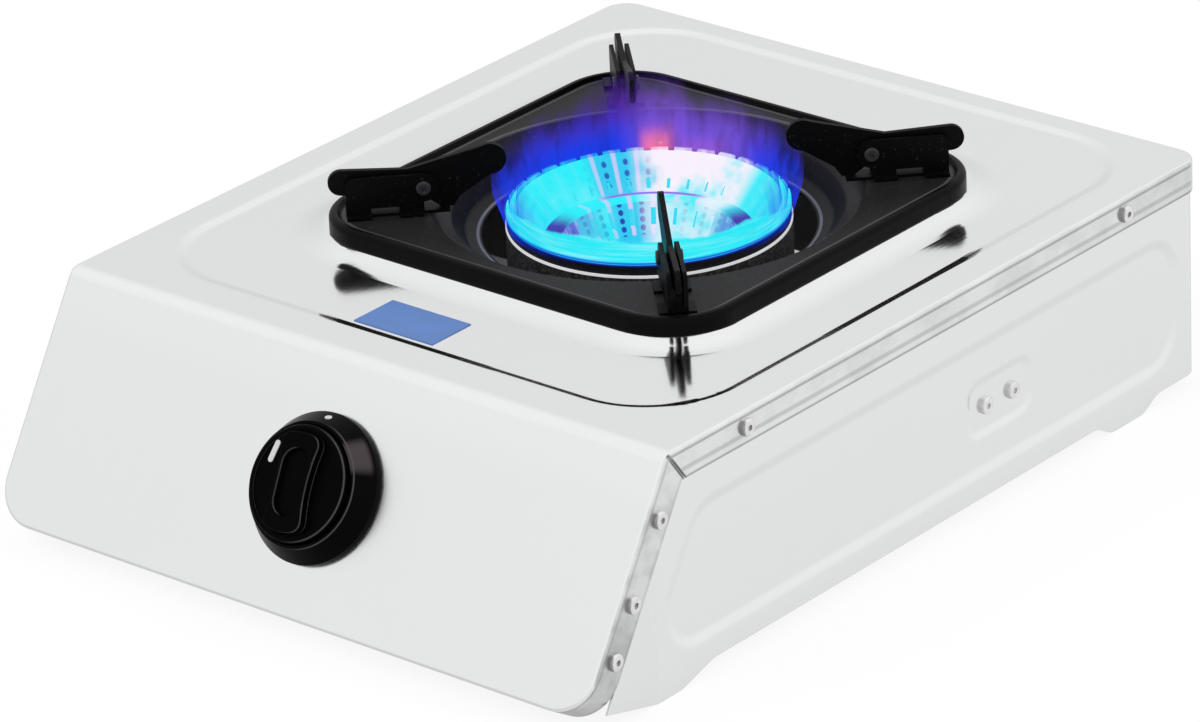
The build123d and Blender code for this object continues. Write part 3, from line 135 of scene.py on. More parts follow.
class Wire:
    def __init__(self, tree, socket):
        self.tree = tree
        self.socket = socket

    def math(self, operation, first, second=0.0):
        node = self.tree.nodes.new("ShaderNodeMath")
        node.operation = operation
        feed(node.inputs[0], first)
        feed(node.inputs[1], second)
        return Wire(self.tree, node.outputs[0])

    def __add__(self, other):
        return self.math("ADD", self, other)

    def __radd__(self, other):
        return self.math("ADD", other, self)

    def __sub__(self, other):
        return self.math("SUBTRACT", self, other)

    def __rsub__(self, other):
        return self.math("SUBTRACT", other, self)

    def __mul__(self, other):
        return self.math("MULTIPLY", self, other)

    def __rmul__(self, other):
        return self.math("MULTIPLY", other, self)

    def __truediv__(self, other):
        return self.math("DIVIDE", self, other)

    def __pow__(self, other):
        return self.math("POWER", self, other)

    def __abs__(self):
        return self.math("ABSOLUTE", self)

    def fraction(self):
        return self.math("FRACT", self)

    def most(self, other):
        return self.math("MAXIMUM", self, other)

    def least(self, other):
        return self.math("MINIMUM", self, other)


# %% [markdown]
# Every other node comes from one method, which takes the node's type, its settings, what goes into its
# sockets and the output that is wanted. On top of it are the few shapes that the finishes repeat: noise,
# which is stretched when its scale has three numbers, a smooth step, a band round a value, and a blend of
# two colours. A finish is one material with its Principled shader at hand.

# %% A node tree, and a material that has one
class Nodes:
    def __init__(self, tree):
        self.tree = tree

    def node(self, kind, settings=None, sockets=None, output=""):
        node = self.tree.nodes.new(kind)
        for key, value in (settings or {}).items():
            setattr(node, key, value)
        for key, value in (sockets or {}).items():
            feed(next(s for s in node.inputs if key in (s.identifier, s.name)), value)
        return Wire(self.tree, next(s for s in node.outputs if s.enabled and output in ("", s.name)))

    def place(self):
        return self.node("ShaderNodeTexCoord", output="Object")

    def axes(self, vector):
        return [self.node("ShaderNodeSeparateXYZ", {}, {"Vector": vector}, axis) for axis in "XYZ"]

    def normals(self):
        return self.axes(self.node("ShaderNodeTexCoord", output="Normal"))

    def noise(self, scale, detail=3.0, rough=0.5):
        stretch = scale if isinstance(scale, tuple) else (scale, scale, scale)
        vector = self.node("ShaderNodeMapping", {}, {"Vector": self.place(), "Scale": stretch})
        return self.node("ShaderNodeTexNoise", {}, {
            "Vector": vector, "Scale": 1.0, "Detail": detail, "Roughness": rough})

    def ease(self, value, low, high, at_low=0.0, at_high=1.0):
        return self.node("ShaderNodeMapRange", {"interpolation_type": "SMOOTHSTEP"}, {
            "Value": value, "From Min": low, "From Max": high, "To Min": at_low, "To Max": at_high})

    def band(self, value, middle, outer, inner_shade):
        return self.ease(abs(value - middle), outer, inner_shade)

    def blend(self, factor, first, second):
        return self.node("ShaderNodeMix", {"data_type": "RGBA"}, {
            "Factor_Float": factor, "A_Color": colour(first), "B_Color": colour(second)})


class Finish(Nodes):
    def __init__(self, name):
        self.material = bpy.data.materials.new(name)
        self.material.use_nodes = True
        super().__init__(self.material.node_tree)
        self.shader = self.tree.nodes["Principled BSDF"]

    def set(self, name, value):
        feed(self.shader.inputs[name], value)

    def bump(self, height, strength, distance):
        self.set("Normal", self.node("ShaderNodeBump", {}, {
            "Height": height, "Strength": strength, "Distance": distance}))

    def shine(self, light):
        self.set("Emission Color", light)
        self.set("Emission Strength", 1.0)


def colour(value):
    return value if isinstance(value, Wire) else (*value, 1.0)


def scaled(tone, share):
    return [min(part * share, 1.0) for part in tone]


def finish_nodes(finish, *names):
    for name in names:
        slots = nodes[name].data.materials
        slots.clear()
        slots.append(finish.material)
    print(finish.material.name, "on", len(names), "node(s)")


BLACK = (0.0, 0.0, 0.0)

# %% [markdown]
# ## Polished sheet
# The body is bright rolled stainless sheet. The top is a mirror with a faint grain: it shows the pale room
# and, close by, the dark tray and pan supports. The front was brushed, so it is duller. Grain is noise
# stretched along the rolling direction, and it drives roughness and a very low bump. Handling leaves soft
# patches, which are one larger noise.
#
# The folded strips at the sides need their own treatment. `fall` is the depth under the top and `deep` the
# depth under the sloping front, so a point on a strip is `edge` away from its fold, whichever strip it is
# on. Painted shade lines run along a fold (the crease, the hem, the cut edge) as bands of `edge`, and the
# slit of the mitre, a dark gap, is a band of the distance to the mitre's line. Besides smudges, the side
# strips get darker towards the rear, and the front strip is darker, the more so towards the bottom, with
# painted shade at its foot. The side panels take painted light and shade from the slope of their pressings
# instead, lighter where they face up and darker where they face down, and their inner faces are painted
# dark as shade.

# %% Polished sheet
STRIP = 0.0126
CREASE = 0.0020
HEM = 0.0088
SLOPE = math.radians(31.5)
MITRE = math.radians(54.0)
HALF_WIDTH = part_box("top_front_panel")[1].x
GRAIN = (900.0, 14.0, 60.0)
SMUDGE = (30.0, 45.0, 60.0)
REAR_ZONE = (0.10, 0.17)
LOWER_ZONE = (0.07, 0.02)
FOOT_ZONE = (0.016, 0.004)
SHEET_TONE = (0.83, 0.835, 0.84)


def sheet_finish(name, tone, mirror, strips, painted_relief):
    finish = Finish(name)
    x, y, z = finish.axes(finish.place())
    normal = finish.normals()
    # Painted shade: the inner faces of the side panels are made dark.
    inner_shade = finish.ease(x * normal[0], 0.0, -0.02) * painted_relief
    grain = finish.noise(GRAIN, 4.0, 0.6)
    patches = finish.noise(9.0, 2.0)
    smudge = finish.ease(finish.noise(SMUDGE, 4.0, 0.6), 0.4, 0.66)

    fall = top_z - z
    deep = (y - bend_y) * math.cos(SLOPE) + fall * math.sin(SLOPE)
    mitre = (y - bend_y) * math.sin(MITRE) - fall * math.cos(MITRE)
    low = finish.ease(mitre, 0.0004, -0.0004)
    edge = fall + (deep - fall) * low
    front = finish.ease(y, bend_y - 0.004, bend_y - 0.012)
    flange = finish.ease(deep, 0.0010, 0.0014) * low
    strip = flange.most(finish.ease(abs(x), HALF_WIDTH - 0.0007, HALF_WIDTH - 0.0003)) * strips

    # Painted shade: dark lines along the crease, the hem and the cut edge of each strip; the mitre's slit is
    # a dark gap.
    crease_shade = finish.band(edge, CREASE, 0.0008, 0.0003) * (0.45 - low * 0.2)
    hem_shade = finish.band(edge, HEM, 0.0014, 0.0003) * (1 - low) * 0.3
    cut_edge_shade = finish.ease(edge, STRIP - 0.0012, STRIP - 0.0006) * (0.5 - low * 0.35)
    slit = finish.band(mitre, 0.0, 0.0012, 0.0006) * finish.ease(edge, 0.0015, 0.0050, 0.6, 0.95)
    lines = crease_shade.most(hem_shade).most(cut_edge_shade).most(slit) * strip

    # Besides smudges, the side strips get darker towards the rear and the front strip towards the bottom,
    # with painted shade at its foot.
    rear = finish.ease(y, *REAR_ZONE) * (1 - low) * 0.35
    foot = finish.ease(z, *FOOT_ZONE) * 0.5
    low_darkening_and_foot_shade = (0.1 + finish.ease(z, *LOWER_ZONE) * 0.25 + foot) * low
    wear = (smudge * (0.3 + low * 0.4) + low_darkening_and_foot_shade + rear) * strip

    shade = finish.blend(grain * 0.5 + patches * 0.5, scaled(tone, 0.96), tone)
    # Painted light and shade: the side panels are lighter where a pressing faces up and darker where it faces
    # down.
    slope_light_and_shade = finish.blend(0.5 + normal[2] * painted_relief, scaled(tone, 0.84), scaled(tone, 1.16))
    smudged_and_shaded = finish.blend(wear, finish.blend(painted_relief, shade, slope_light_and_shade), scaled(tone, 0.62))
    finish.set("Base Color", finish.blend(lines.most(inner_shade), smudged_and_shaded, scaled(tone, 0.12)))
    finish.set("Metallic", 1.0)
    finish.set("Roughness", mirror + grain * 0.05 + patches * 0.03 + front * 0.16 + strip * 0.12)
    finish.bump(grain + strip * smudge * 3.0, 0.04, 0.0003)
    return finish


finish_nodes(sheet_finish("polished_sheet", SHEET_TONE, 0.05, 1.0, 0.0), "top_front_panel")
finish_nodes(sheet_finish("side_sheet", SHEET_TONE, 0.14, 0.0, 1.0), "side_panel_right", "side_panel_left")

# %% [markdown]
# ## Plain zinc-plated steel
# The rear panel, the bracket and other inner pieces are plated and never polished. Zinc has a soft, cloudy
# crystal pattern, which a Voronoi texture gives well, and it is rougher than the outer sheet. Screw heads
# have painted shade on their flanks that look to the front, which the normal picks out, and so does the
# inside of the rear panel. Castings, drawn steel and turned brass are the same finish in other tones.

# %% Plated steel
ZINC = (0.62, 0.63, 0.64)


def plated_finish(name, tone, rough, cell, shaded=0.0):
    finish = Finish(name)
    # Painted shade: faces that look to the front are darkened, as much as `shaded` says.
    flank_shade = finish.ease(finish.normals()[1], -0.3, -0.65) * shaded
    cells = finish.node("ShaderNodeTexVoronoi", {}, {
        "Vector": finish.place(), "Scale": cell, "Randomness": 1.0}, "Color")
    cloud = finish.noise(30.0, 4.0)
    level = finish.axes(cells)[0]
    skin = finish.blend(level * 0.6 + cloud * 0.4, scaled(tone, 0.8), tone)
    finish.set("Base Color", finish.blend(flank_shade, skin, scaled(tone, 0.25)))
    finish.set("Metallic", 1.0)
    finish.set("Roughness", rough + level * 0.1 + cloud * 0.08)
    finish.bump(cloud, 0.05, 0.0005)
    return finish


finish_nodes(plated_finish("zinc_plate", ZINC, 0.28, 60.0),
             "burner_bracket", "valve_plate", "air_shutter", "spring_seat")
finish_nodes(plated_finish("rear_zinc", ZINC, 0.28, 90.0, 1.0), "rear_panel")
drawn_steel = plated_finish("drawn_steel", (0.66, 0.66, 0.67), 0.18, 300.0)
finish_nodes(drawn_steel, "valve_stem", "stem_spring", "spark_electrode")
finish_nodes(plated_finish("screw_zinc", (0.88, 0.88, 0.89), 0.16, 500.0, 0.4),
             "bracket_screws", "rear_screws", "valve_screws", "burner_screws")
finish_nodes(plated_finish("strip_zinc", (0.86, 0.86, 0.87), 0.16, 500.0, 0.85),
             "strip_screws", "strip_rivets")
finish_nodes(plated_finish("alloy_casting", (0.66, 0.67, 0.68), 0.34, 220.0), "gas_valve", "inlet_pipe")
finish_nodes(plated_finish("turned_brass", (0.72, 0.52, 0.22), 0.2, 400.0),
             "jet", "inlet_nipple", "inlet_nut")

# %% [markdown]
# ## Polar coordinates
# Most of what is dark or lit in the middle of the stove is round. The helper below gives radius, bearing
# (as a share of a full turn) and height round the burner's axis, and a mask for whatever lies in a sector:
# a bearing, and the angles to each side of it where the mask starts and where it is full, in degrees. The
# far side is the bearing that lies away from the photo's viewer. It is fixed in the stove's own frame.

# %% Polar coordinates round the burner's axis
FAR_SIDE = math.pi / 2 + AZIMUTH


class Polar:
    def __init__(self, finish):
        self.finish = finish
        self.x, y, self.z = finish.axes(finish.place())
        self.y = y - axis_y
        self.radius = (self.x * self.x + self.y * self.y) ** 0.5
        self.turn = self.x.math("ARCTAN2", self.y, self.x) / (2 * math.pi)

    def facing(self, bearing, wide, narrow):
        along = (self.x * math.cos(bearing) + self.y * math.sin(bearing)) / self.radius
        return self.finish.ease(along, math.cos(math.radians(wide)), math.cos(math.radians(narrow)))


# %% [markdown]
# ## Black enamel
# The tray is enamelled a very dark grey with a satin gloss, and the pan supports are a flatter black.
# Enamel has a slight orange peel and a few pale specks.
#
# On the tray, painted highlights run along two rounds of its dish, found by radius, the outer one only on its
# far side, and along the inner edge of its rolled rim, found by the distance to a rounded square. The rolled
# rim is darker, and the dish's mouth, which looks down past the burner, is painted dark as shade.

# %% Black enamel
SPECK = (0.25, 0.25, 0.26)


def enamel_finish(name, tone, rough, speck, shine):
    finish = Finish(name)
    peel = finish.noise(420.0, 2.0)
    drift = finish.noise(35.0)
    dust = finish.ease(finish.noise(900.0, 1.0), 0.68, 0.76)
    finish.skin = finish.blend(dust * speck, finish.blend(drift, scaled(tone, 0.7), scaled(tone, 1.3)), SPECK)
    finish.set("Base Color", finish.skin)
    finish.set("Roughness", rough + drift * 0.12 + dust * 0.2)
    finish.set("Specular IOR Level", shine)
    finish.bump(peel * 0.6 + drift, 0.08, 0.0006)
    return finish


# %% Tray
DISH_EDGE = 0.0803
DISH_MOUTH = 0.0632
TRAY_CORNER = 0.0275
TRAY_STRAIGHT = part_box("pan_tray")[1].x - TRAY_CORNER
RIM_INNER = -0.0056
DISH_SECTOR = (FAR_SIDE, 85.0, 55.0)
RIM_DARK_MOUTH_SHADE = (0.002, 0.002, 0.002)
EDGE_HIGHLIGHT = (0.26, 0.26, 0.27)


def tray_finish(name):
    finish = enamel_finish(name, (0.017, 0.017, 0.018), 0.30, 0.2, 0.06)
    polar = Polar(finish)
    beside = (abs(polar.x) - TRAY_STRAIGHT).most(0.0)
    beyond = (abs(polar.y) - TRAY_STRAIGHT).most(0.0)
    border = (beside * beside + beyond * beyond) ** 0.5 - TRAY_CORNER
    # The rolled rim is made darker, and the dish's mouth is painted dark as shade.
    rolled = finish.ease(border, RIM_INNER + 0.0004, RIM_INNER + 0.0010)
    mouth = finish.ease(polar.radius, DISH_MOUTH - 0.0002, DISH_MOUTH - 0.0007)
    # Painted highlights along the dish's rounds and the inner edge of the rim.
    far_edge = finish.band(polar.radius, DISH_EDGE, 0.0012, 0.0003) * polar.facing(*DISH_SECTOR) * 0.4
    rim_edge_highlight = finish.band(border, RIM_INNER, 0.0010, 0.0003) * 0.3
    mouth_edge_highlight = finish.band(polar.radius, DISH_MOUTH, 0.0008, 0.0003)
    rim_dark_mouth_shaded = finish.blend(rolled.most(mouth), finish.skin, RIM_DARK_MOUTH_SHADE)
    finish.set("Base Color", finish.blend(mouth_edge_highlight.most(far_edge).most(rim_edge_highlight), rim_dark_mouth_shaded, EDGE_HIGHLIGHT))
    return finish


ARMS = ("rear_right", "rear_left", "front_left", "front_right")
finish_nodes(tray_finish("tray_enamel"), "pan_tray")
finish_nodes(enamel_finish("support_enamel", (0.0028, 0.0028, 0.0032), 0.36, 0.1, 0.06),
             *["arm_bracket_" + arm for arm in ARMS], *["arm_blade_" + arm for arm in ARMS])
finish_nodes(enamel_finish("rivet_enamel", (0.04, 0.04, 0.042), 0.25, 0.4, 0.2),
             *["arm_rivet_" + arm for arm in ARMS])

# %% [markdown]
# ## Cast iron and the lit bowl
# The burner's body is sand cast, so it is coarse and speckled, with one machined face: the bright rim that
# the fire ring sits on. The rim is picked out by height and radius; it is light grey and also has a painted
# glow. Inside it is the chamber, where the fire's cyan light is painted on as a glow.
#
# The fire ring and the cup are castings too, but the gas burns on their inner faces, so there the iron is
# lost in cyan light. The light is an emission that is masked by the distance to the bowl's cone, and
# everything else (ribs, port holes, the pale over-bright patch) is worked out from polar coordinates and
# noise.

# %% Cast iron
IRON_METAL = 0.35


def iron_base(finish, tone, bright):
    sand = finish.noise(700.0, 4.0, 0.7)
    lumps = finish.noise(120.0, 2.0)
    finish.set("Metallic", IRON_METAL)
    finish.set("Roughness", 0.62 + lumps * 0.15 - bright * 0.42)
    finish.bump((sand + lumps) * (1 - bright), 0.35, 0.0008)
    return finish.blend(finish.ease(sand, 0.42, 0.66), scaled(tone, 0.5), scaled(tone, 1.9))


# %% Burner body, with a machined rim that has a painted glow, and a chamber with the fire's light painted on from above
CHAMBER = 0.0494
CHAMBER_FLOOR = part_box("burner_bracket")[1].z + 0.0035
RIM_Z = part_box("burner_body")[1].z
MACHINED = (0.75, 0.75, 0.76)
RIM_PAINTED_GLOW = (0.42, 0.42, 0.42)
CHAMBER_LIGHT = (0.04, 0.66, 0.84)


def burner_finish(name, tone):
    finish = Finish(name)
    polar = Polar(finish)
    # Painted light: the machined rim gets a faint glow, and the chamber the fire's cyan light.
    bright = finish.ease(polar.z, RIM_Z - 0.0011, RIM_Z - 0.0008) * finish.ease(
        polar.radius, CHAMBER, CHAMBER + 0.0002)
    lit = finish.ease(polar.radius, CHAMBER + 0.0002, CHAMBER) * finish.ease(
        polar.z, CHAMBER_FLOOR, CHAMBER_FLOOR + 0.0003)
    finish.set("Base Color", finish.blend(bright, iron_base(finish, tone, bright), MACHINED))
    finish.set("Metallic", IRON_METAL - bright * IRON_METAL)
    finish.shine(finish.blend(lit, finish.blend(bright, BLACK, RIM_PAINTED_GLOW), CHAMBER_LIGHT))
    return finish


finish_nodes(burner_finish("burner_casting", (0.05, 0.05, 0.054)), "burner_body")

# %% Light in the bowl
CYAN = (0.022, 0.84, 0.93)
PALE_CYAN = (0.35, 0.88, 0.97)
DEEP = (0.03, 0.12, 0.74)
VIOLET = (0.14, 0.09, 0.62)
LILAC = (0.62, 0.58, 0.93)
PALE = (0.93, 0.86, 0.95)
INK = (0.012, 0.06, 0.46)
DUSK = (0.05, 0.03, 0.38)
BRIM = (0.28, 0.16, 0.78)
DARK_IRON = (0.006, 0.005, 0.010)
PORT = 0.0012
BRIM_RADIUS = 0.0366
CLEAR_SECTOR = (FAR_SIDE + 0.17, 20.0, 11.0)
PALE_SECTOR = (FAR_SIDE - 0.44, 35.0, 20.0)
CYAN_SECTOR = (FAR_SIDE - 0.1, 66.0, 28.0)
BRIM_SECTOR = (FAR_SIDE, 74.0, 48.0)
EDGE_SECTOR = (FAR_SIDE - 0.05, 34.0, 22.0)
SPOKE_SECTOR = (FAR_SIDE, 50.0, 30.0)


def ports(finish, polar, count, pitch):
    full_turn = 2 * math.pi
    share = 0.5 - abs((polar.turn * count).fraction() - 0.5)
    across = share * (full_turn / count) * polar.radius
    along = ((polar.z / pitch).fraction() - 0.5) * pitch
    dots = finish.ease((across * across + along * along) ** 0.5, PORT, PORT * 0.6)
    return dots, finish.ease(share, 0.36, 0.44)


def lit_finish(name, foot, mouth, back, count, pitch, dim):
    finish = Finish(name)
    polar = Polar(finish)
    radius, z, facing = polar.radius, polar.z, polar.facing
    (foot_radius, foot_z), (mouth_radius, mouth_z) = foot, mouth
    wall = foot_radius + (z - foot_z) * ((mouth_radius - foot_radius) / (mouth_z - foot_z))
    glow = finish.ease((radius - wall) / (back - wall), 0.75, 0.55)
    glow = glow * finish.ease(z, foot_z - 0.003, foot_z - 0.001)
    glow = glow.most(finish.ease(z, mouth_z - 0.0024, mouth_z - 0.0018) * (1 - dim))
    flange = finish.ease(z, mouth_z - 0.0015, mouth_z - 0.0010) * dim
    on_wall = finish.ease(z, foot_z + 0.0006, foot_z + 0.0014)
    dots, ribs = ports(finish, polar, count, pitch)

    flicker = finish.noise(55.0, 3.0, 0.6)
    streak = finish.noise((160.0, 160.0, 12.0), 3.0, 0.6)
    off_centre = finish.ease(radius, 0.008, 0.022)
    clear = facing(*CLEAR_SECTOR) * off_centre
    over = facing(*PALE_SECTOR) * finish.ease(flicker, 0.22, 0.52) * off_centre
    sides = (1 - facing(*CYAN_SECTOR)) * dim
    ends = 1 - facing(*BRIM_SECTOR)
    far_edge = facing(*EDGE_SECTOR) * finish.ease(radius, BRIM_RADIUS, BRIM_RADIUS + 0.0008)

    light = finish.blend(finish.ease(flicker, 0.45, 0.8) * 0.25, CYAN, PALE_CYAN)
    light = finish.blend(clear * 0.35, light, DEEP)
    light = finish.blend(sides * finish.ease(streak, 0.35, 0.6, 0.5, 0.95), light, VIOLET)
    light = finish.blend(ribs * on_wall * (0.05 + clear * 0.8 + dim * 0.2), light, LILAC)
    light = finish.blend(dots * on_wall * (0.04 + clear * 0.85 + dim * 0.35), light, INK)
    light = finish.blend(over * (1 - dim * 0.35), light, PALE)
    spokes = finish.blend(ribs * facing(*SPOKE_SECTOR) * 0.8, CYAN, LILAC)
    brim = finish.blend(far_edge, finish.blend(over * 0.8, spokes, PALE), BRIM)
    light = finish.blend(flange, light, finish.blend(ends, brim, DUSK))

    lit = glow.most(flange)
    finish.set("Base Color", finish.blend(lit, iron_base(finish, DARK_IRON, 0.0), BLACK))
    finish.shine(finish.blend(lit, BLACK, light))
    return finish


CONE_FOOT = (0.0395, ring_high.z - 0.0137)
CONE_MOUTH = (ring_radius - 0.0016, ring_high.z)
CUP_FOOT = (0.0265, cup_top - 0.013)
CUP_MOUTH = (0.0336, cup_top)
CUP_BACK = 0.040
RING_PORTS, RING_PITCH = 36, 0.0034
CUP_PORTS, CUP_PITCH = 24, 0.0028
finish_nodes(lit_finish("lit_ring", CONE_FOOT, CONE_MOUTH, ring_radius, RING_PORTS, RING_PITCH, 0.0),
             "fire_ring")
finish_nodes(lit_finish("lit_cup", CUP_FOOT, CUP_MOUTH, CUP_BACK, CUP_PORTS, CUP_PITCH, 1.0),
             "fire_cup")

# %% [markdown]
# ## The flame
# Above the bowl the burning gas is a soft veil. It is modelled as three thin shells, one inside the other.
# Each starts as a circle round the burner's axis, and its rim is extruded upwards ring by ring, each ring a
# little wider or narrower than the last. The shells have no substance: their finish is a pure emission,
# with an alpha that fades upwards in wavering tongues. A slight draught from the front makes the veil
# taller at the far side. A fourth, low shell is the cyan lip of fire that stands on the rim at the near
# side.

# %% Flame shells
SHELL_SIDES = 96


def flame_shell(name, rings):
    bpy.ops.object.select_all(action="DESELECT")
    radius, height = rings[0]
    bpy.ops.mesh.primitive_circle_add(vertices=SHELL_SIDES, radius=radius, location=(0, axis_y, height))
    shell = bpy.context.object
    shell.name = name
    bpy.ops.object.mode_set(mode="EDIT")
    bpy.ops.mesh.select_all(action="SELECT")
    for (last_radius, last_height), (radius, height) in zip(rings, rings[1:]):
        bpy.ops.mesh.extrude_region_move(
            TRANSFORM_OT_translate={"value": (0, 0, height - last_height)})
        bpy.ops.transform.resize(value=(radius / last_radius, radius / last_radius, 1.0))
    bpy.ops.mesh.select_all(action="SELECT")
    bpy.ops.mesh.normals_make_consistent(inside=False)
    bpy.ops.object.mode_set(mode="OBJECT")
    bpy.ops.object.transform_apply(location=True, rotation=True, scale=True)
    bpy.ops.object.shade_smooth()
    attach(shell, "fire")
    print(name, len(shell.data.polygons), "faces, top at", rings[-1][1])
    return shell


# %% Burning gas
FLAME_ROOT = ring_high.z - 0.004
VEIL_REACH = 0.022
FAR_REACH = 0.004
COLUMN_REACH = 0.012
LIP_REACH = 0.0038
LIP_SWAY = 0.0065
LIP_SOFT = 0.0012
FAR_SECTOR = (FAR_SIDE, 100.0, 20.0)
COLUMN_SECTOR = (FAR_SIDE + 0.06, 26.0, 6.0)
VEIL_SECTOR = (FAR_SIDE, 150.0, 95.0)
LILAC_SECTOR = (FAR_SIDE - 0.42, 38.0, 12.0)
WARM_SECTOR = (FAR_SIDE - 0.09, 9.0, 1.0)
BLUSH_SECTOR = (FAR_SIDE - 0.40, 18.0, 6.0)
LIP_SECTOR = (FAR_SIDE + math.pi - 0.10, 100.0, 45.0)
LOW_BLUE = (0.012, 0.050, 0.86)
HIGH_VIOLET = (0.10, 0.025, 0.42)
RIGHT_LILAC = (0.27, 0.12, 0.78)
BLUSH = (0.42, 0.12, 0.66)
WARM = (0.90, 0.19, 0.45)
LIP_STREAK = (0.33, 0.90, 0.97)
LIP_FOOT = (0.01, 0.16, 0.72)


def glow_only(finish, tint, alpha):
    finish.set("Base Color", colour(BLACK))
    finish.set("Specular IOR Level", 0.0)
    finish.set("Roughness", 1.0)
    finish.set("Alpha", alpha)
    finish.shine(tint)
    return finish


def flame_finish(name, density):
    finish = Finish(name)
    polar = Polar(finish)
    rise = polar.z - FLAME_ROOT
    far = polar.facing(*FAR_SECTOR)
    column = polar.facing(*COLUMN_SECTOR)
    sway = finish.noise((24.0, 24.0, 5.0), 2.0)
    streak = finish.noise((110.0, 110.0, 9.0), 3.0, 0.6)
    reach = (VEIL_REACH + far * FAR_REACH + column * COLUMN_REACH) * (0.6 + sway * 0.8)
    thin = 0.35 + finish.ease(streak, 0.38, 0.62) * 0.65
    veil = finish.ease(rise, reach, reach * 0.25) * thin * polar.facing(*VEIL_SECTOR) * density
    skirt = finish.ease(rise, 0.0040, 0.0032) * finish.ease(rise, 0.0014, 0.0026) * 0.6

    cool = finish.blend(finish.ease(rise, 0.006, 0.026), LOW_BLUE, HIGH_VIOLET)
    base = finish.blend(polar.facing(*LILAC_SECTOR) * 0.65, cool, RIGHT_LILAC)
    warm = polar.facing(*WARM_SECTOR) * finish.ease(rise, 0.016, 0.006)
    blush = polar.facing(*BLUSH_SECTOR) * finish.ease(rise, 0.013, 0.005) * 0.5
    tint = finish.blend(warm, finish.blend(blush, base, BLUSH), WARM)
    return glow_only(finish, tint, veil.most(skirt * density))


def lip_finish(name):
    finish = Finish(name)
    polar = Polar(finish)
    rise = polar.z - ring_high.z
    sway = finish.noise((40.0, 40.0, 10.0))
    streak = finish.noise((30.0, 30.0, 700.0), 3.0, 0.6)
    near = polar.facing(*LIP_SECTOR)
    height = near * (LIP_REACH + sway * LIP_SWAY)
    body = finish.ease(rise, height, height - LIP_SOFT)
    tint = finish.blend(finish.ease(streak, 0.4, 0.7) * 0.6, CYAN, LIP_STREAK)
    tint = finish.blend(finish.ease(rise, -0.0004, -0.0014), tint, LIP_FOOT)
    return glow_only(finish, tint, body * near * 0.96)


# %% Rings of each shell, as radius and height, from its foot to its top
VEIL_RINGS = {
    "flame_outer": ((0.0532, 0.0896), (0.0545, 0.094), (0.0572, 0.102),
                    (0.0575, 0.110), (0.0545, 0.119), (0.0470, 0.129)),
    "flame_middle": ((0.0512, 0.0938), (0.0516, 0.100), (0.0502, 0.109), (0.0460, 0.118), (0.0390, 0.128)),
    "flame_inner": ((0.0490, 0.0938), (0.0480, 0.101), (0.0440, 0.111), (0.0370, 0.121), (0.0290, 0.129)),
}
LIP_RINGS = ((0.0530, 0.0920), (0.0529, 0.0940), (0.0524, 0.0970), (0.0516, 0.1000), (0.0506, 0.1030))
veil = flame_finish("flame_veil", 0.74)
for shell_name, rings in VEIL_RINGS.items():
    flame_shell(shell_name, rings).data.materials.append(veil.material)
flame_shell("flame_lip", LIP_RINGS).data.materials.append(lip_finish("flame_rim").material)

# %% [markdown]
# ## The spring under the knob
# The CAD spring is one fixed solid, and a real one gets shorter when the knob is pushed in. Here it is
# modelled again as a mesh and attached to the stove's body: a small circle of wire, a Screw modifier that
# winds it up, and then a turn into the knob's direction.

# %% Spring
SPRING_RADIUS = 0.0058
WIRE_RADIUS = 0.0003
WIRE_SIDES = 10
SPRING_TURNS = 3
TURN_STEPS = 40
SPRING_LOW = 0.0003
SPRING_HIGH = 0.0051

bpy.ops.object.select_all(action="DESELECT")
bpy.ops.mesh.primitive_circle_add(
    vertices=WIRE_SIDES, radius=WIRE_RADIUS,
    location=(SPRING_RADIUS, 0, SPRING_LOW), rotation=(math.pi / 2, 0, 0))
spring = bpy.context.object
spring.name = "wound_spring"
bpy.ops.object.transform_apply(location=True, rotation=True, scale=True)
bpy.ops.object.modifier_add(type="SCREW")
winding = spring.modifiers["Screw"]
winding.screw_offset = (SPRING_HIGH - SPRING_LOW) / SPRING_TURNS
winding.iterations = SPRING_TURNS
winding.steps = TURN_STEPS
winding.render_steps = TURN_STEPS
bpy.ops.object.modifier_apply(modifier="Screw")
bpy.ops.object.mode_set(mode="EDIT")
bpy.ops.mesh.select_all(action="SELECT")
bpy.ops.mesh.normals_make_consistent(inside=False)
bpy.ops.object.mode_set(mode="OBJECT")
bpy.ops.object.shade_smooth()
spring.rotation_euler = knob_out.to_track_quat("Z", "Y").to_euler()
spring.location = knob_place
bpy.ops.object.transform_apply(location=True, rotation=True, scale=True)
spring.data.materials.append(drawn_steel.material)
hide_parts("stem_spring")
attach(spring, "stove")
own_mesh(spring)

# %% [markdown]
# ## Knob, bezel and small trim
# The knob is satin moulded plastic and the bezel round it is glossier. Both have a fine moulded texture.
# The pointer and the bezel's mark are printed white, and the plate on the top is a plain blue foil.

# %% Moulded plastic and print
def plastic_finish(name, tone, rough, grit, shine=0.5):
    finish = Finish(name)
    spark = finish.noise(1400.0, 2.0)
    wear = finish.noise(60.0)
    finish.skin = finish.blend(wear, scaled(tone, 0.8), scaled(tone, 1.2))
    finish.set("Base Color", finish.skin)
    finish.set("Roughness", rough + wear * 0.12 + spark * 0.05)
    finish.set("Specular IOR Level", shine)
    finish.bump(spark, grit, 0.0002)
    return finish


finish_nodes(plastic_finish("printed_white", (0.80, 0.80, 0.78), 0.4, 0.05), "knob_pointer", "bezel_mark")
# Painted shade: the spark insulator is made dark.
finish_nodes(plastic_finish("shaded_insulator", (0.030, 0.018, 0.014), 0.12, 0.03, 0.2), "spark_insulator")
finish_nodes(plastic_finish("lead_sleeve", (0.45, 0.04, 0.03), 0.5, 0.2), "spark_lead")
finish_nodes(plastic_finish("blue_foil", (0.10, 0.24, 0.62), 0.3, 0.05), "rating_plate")
finish_nodes(plastic_finish("case_plastic", (0.012, 0.012, 0.012), 0.4, 0.1), "piezo_unit")

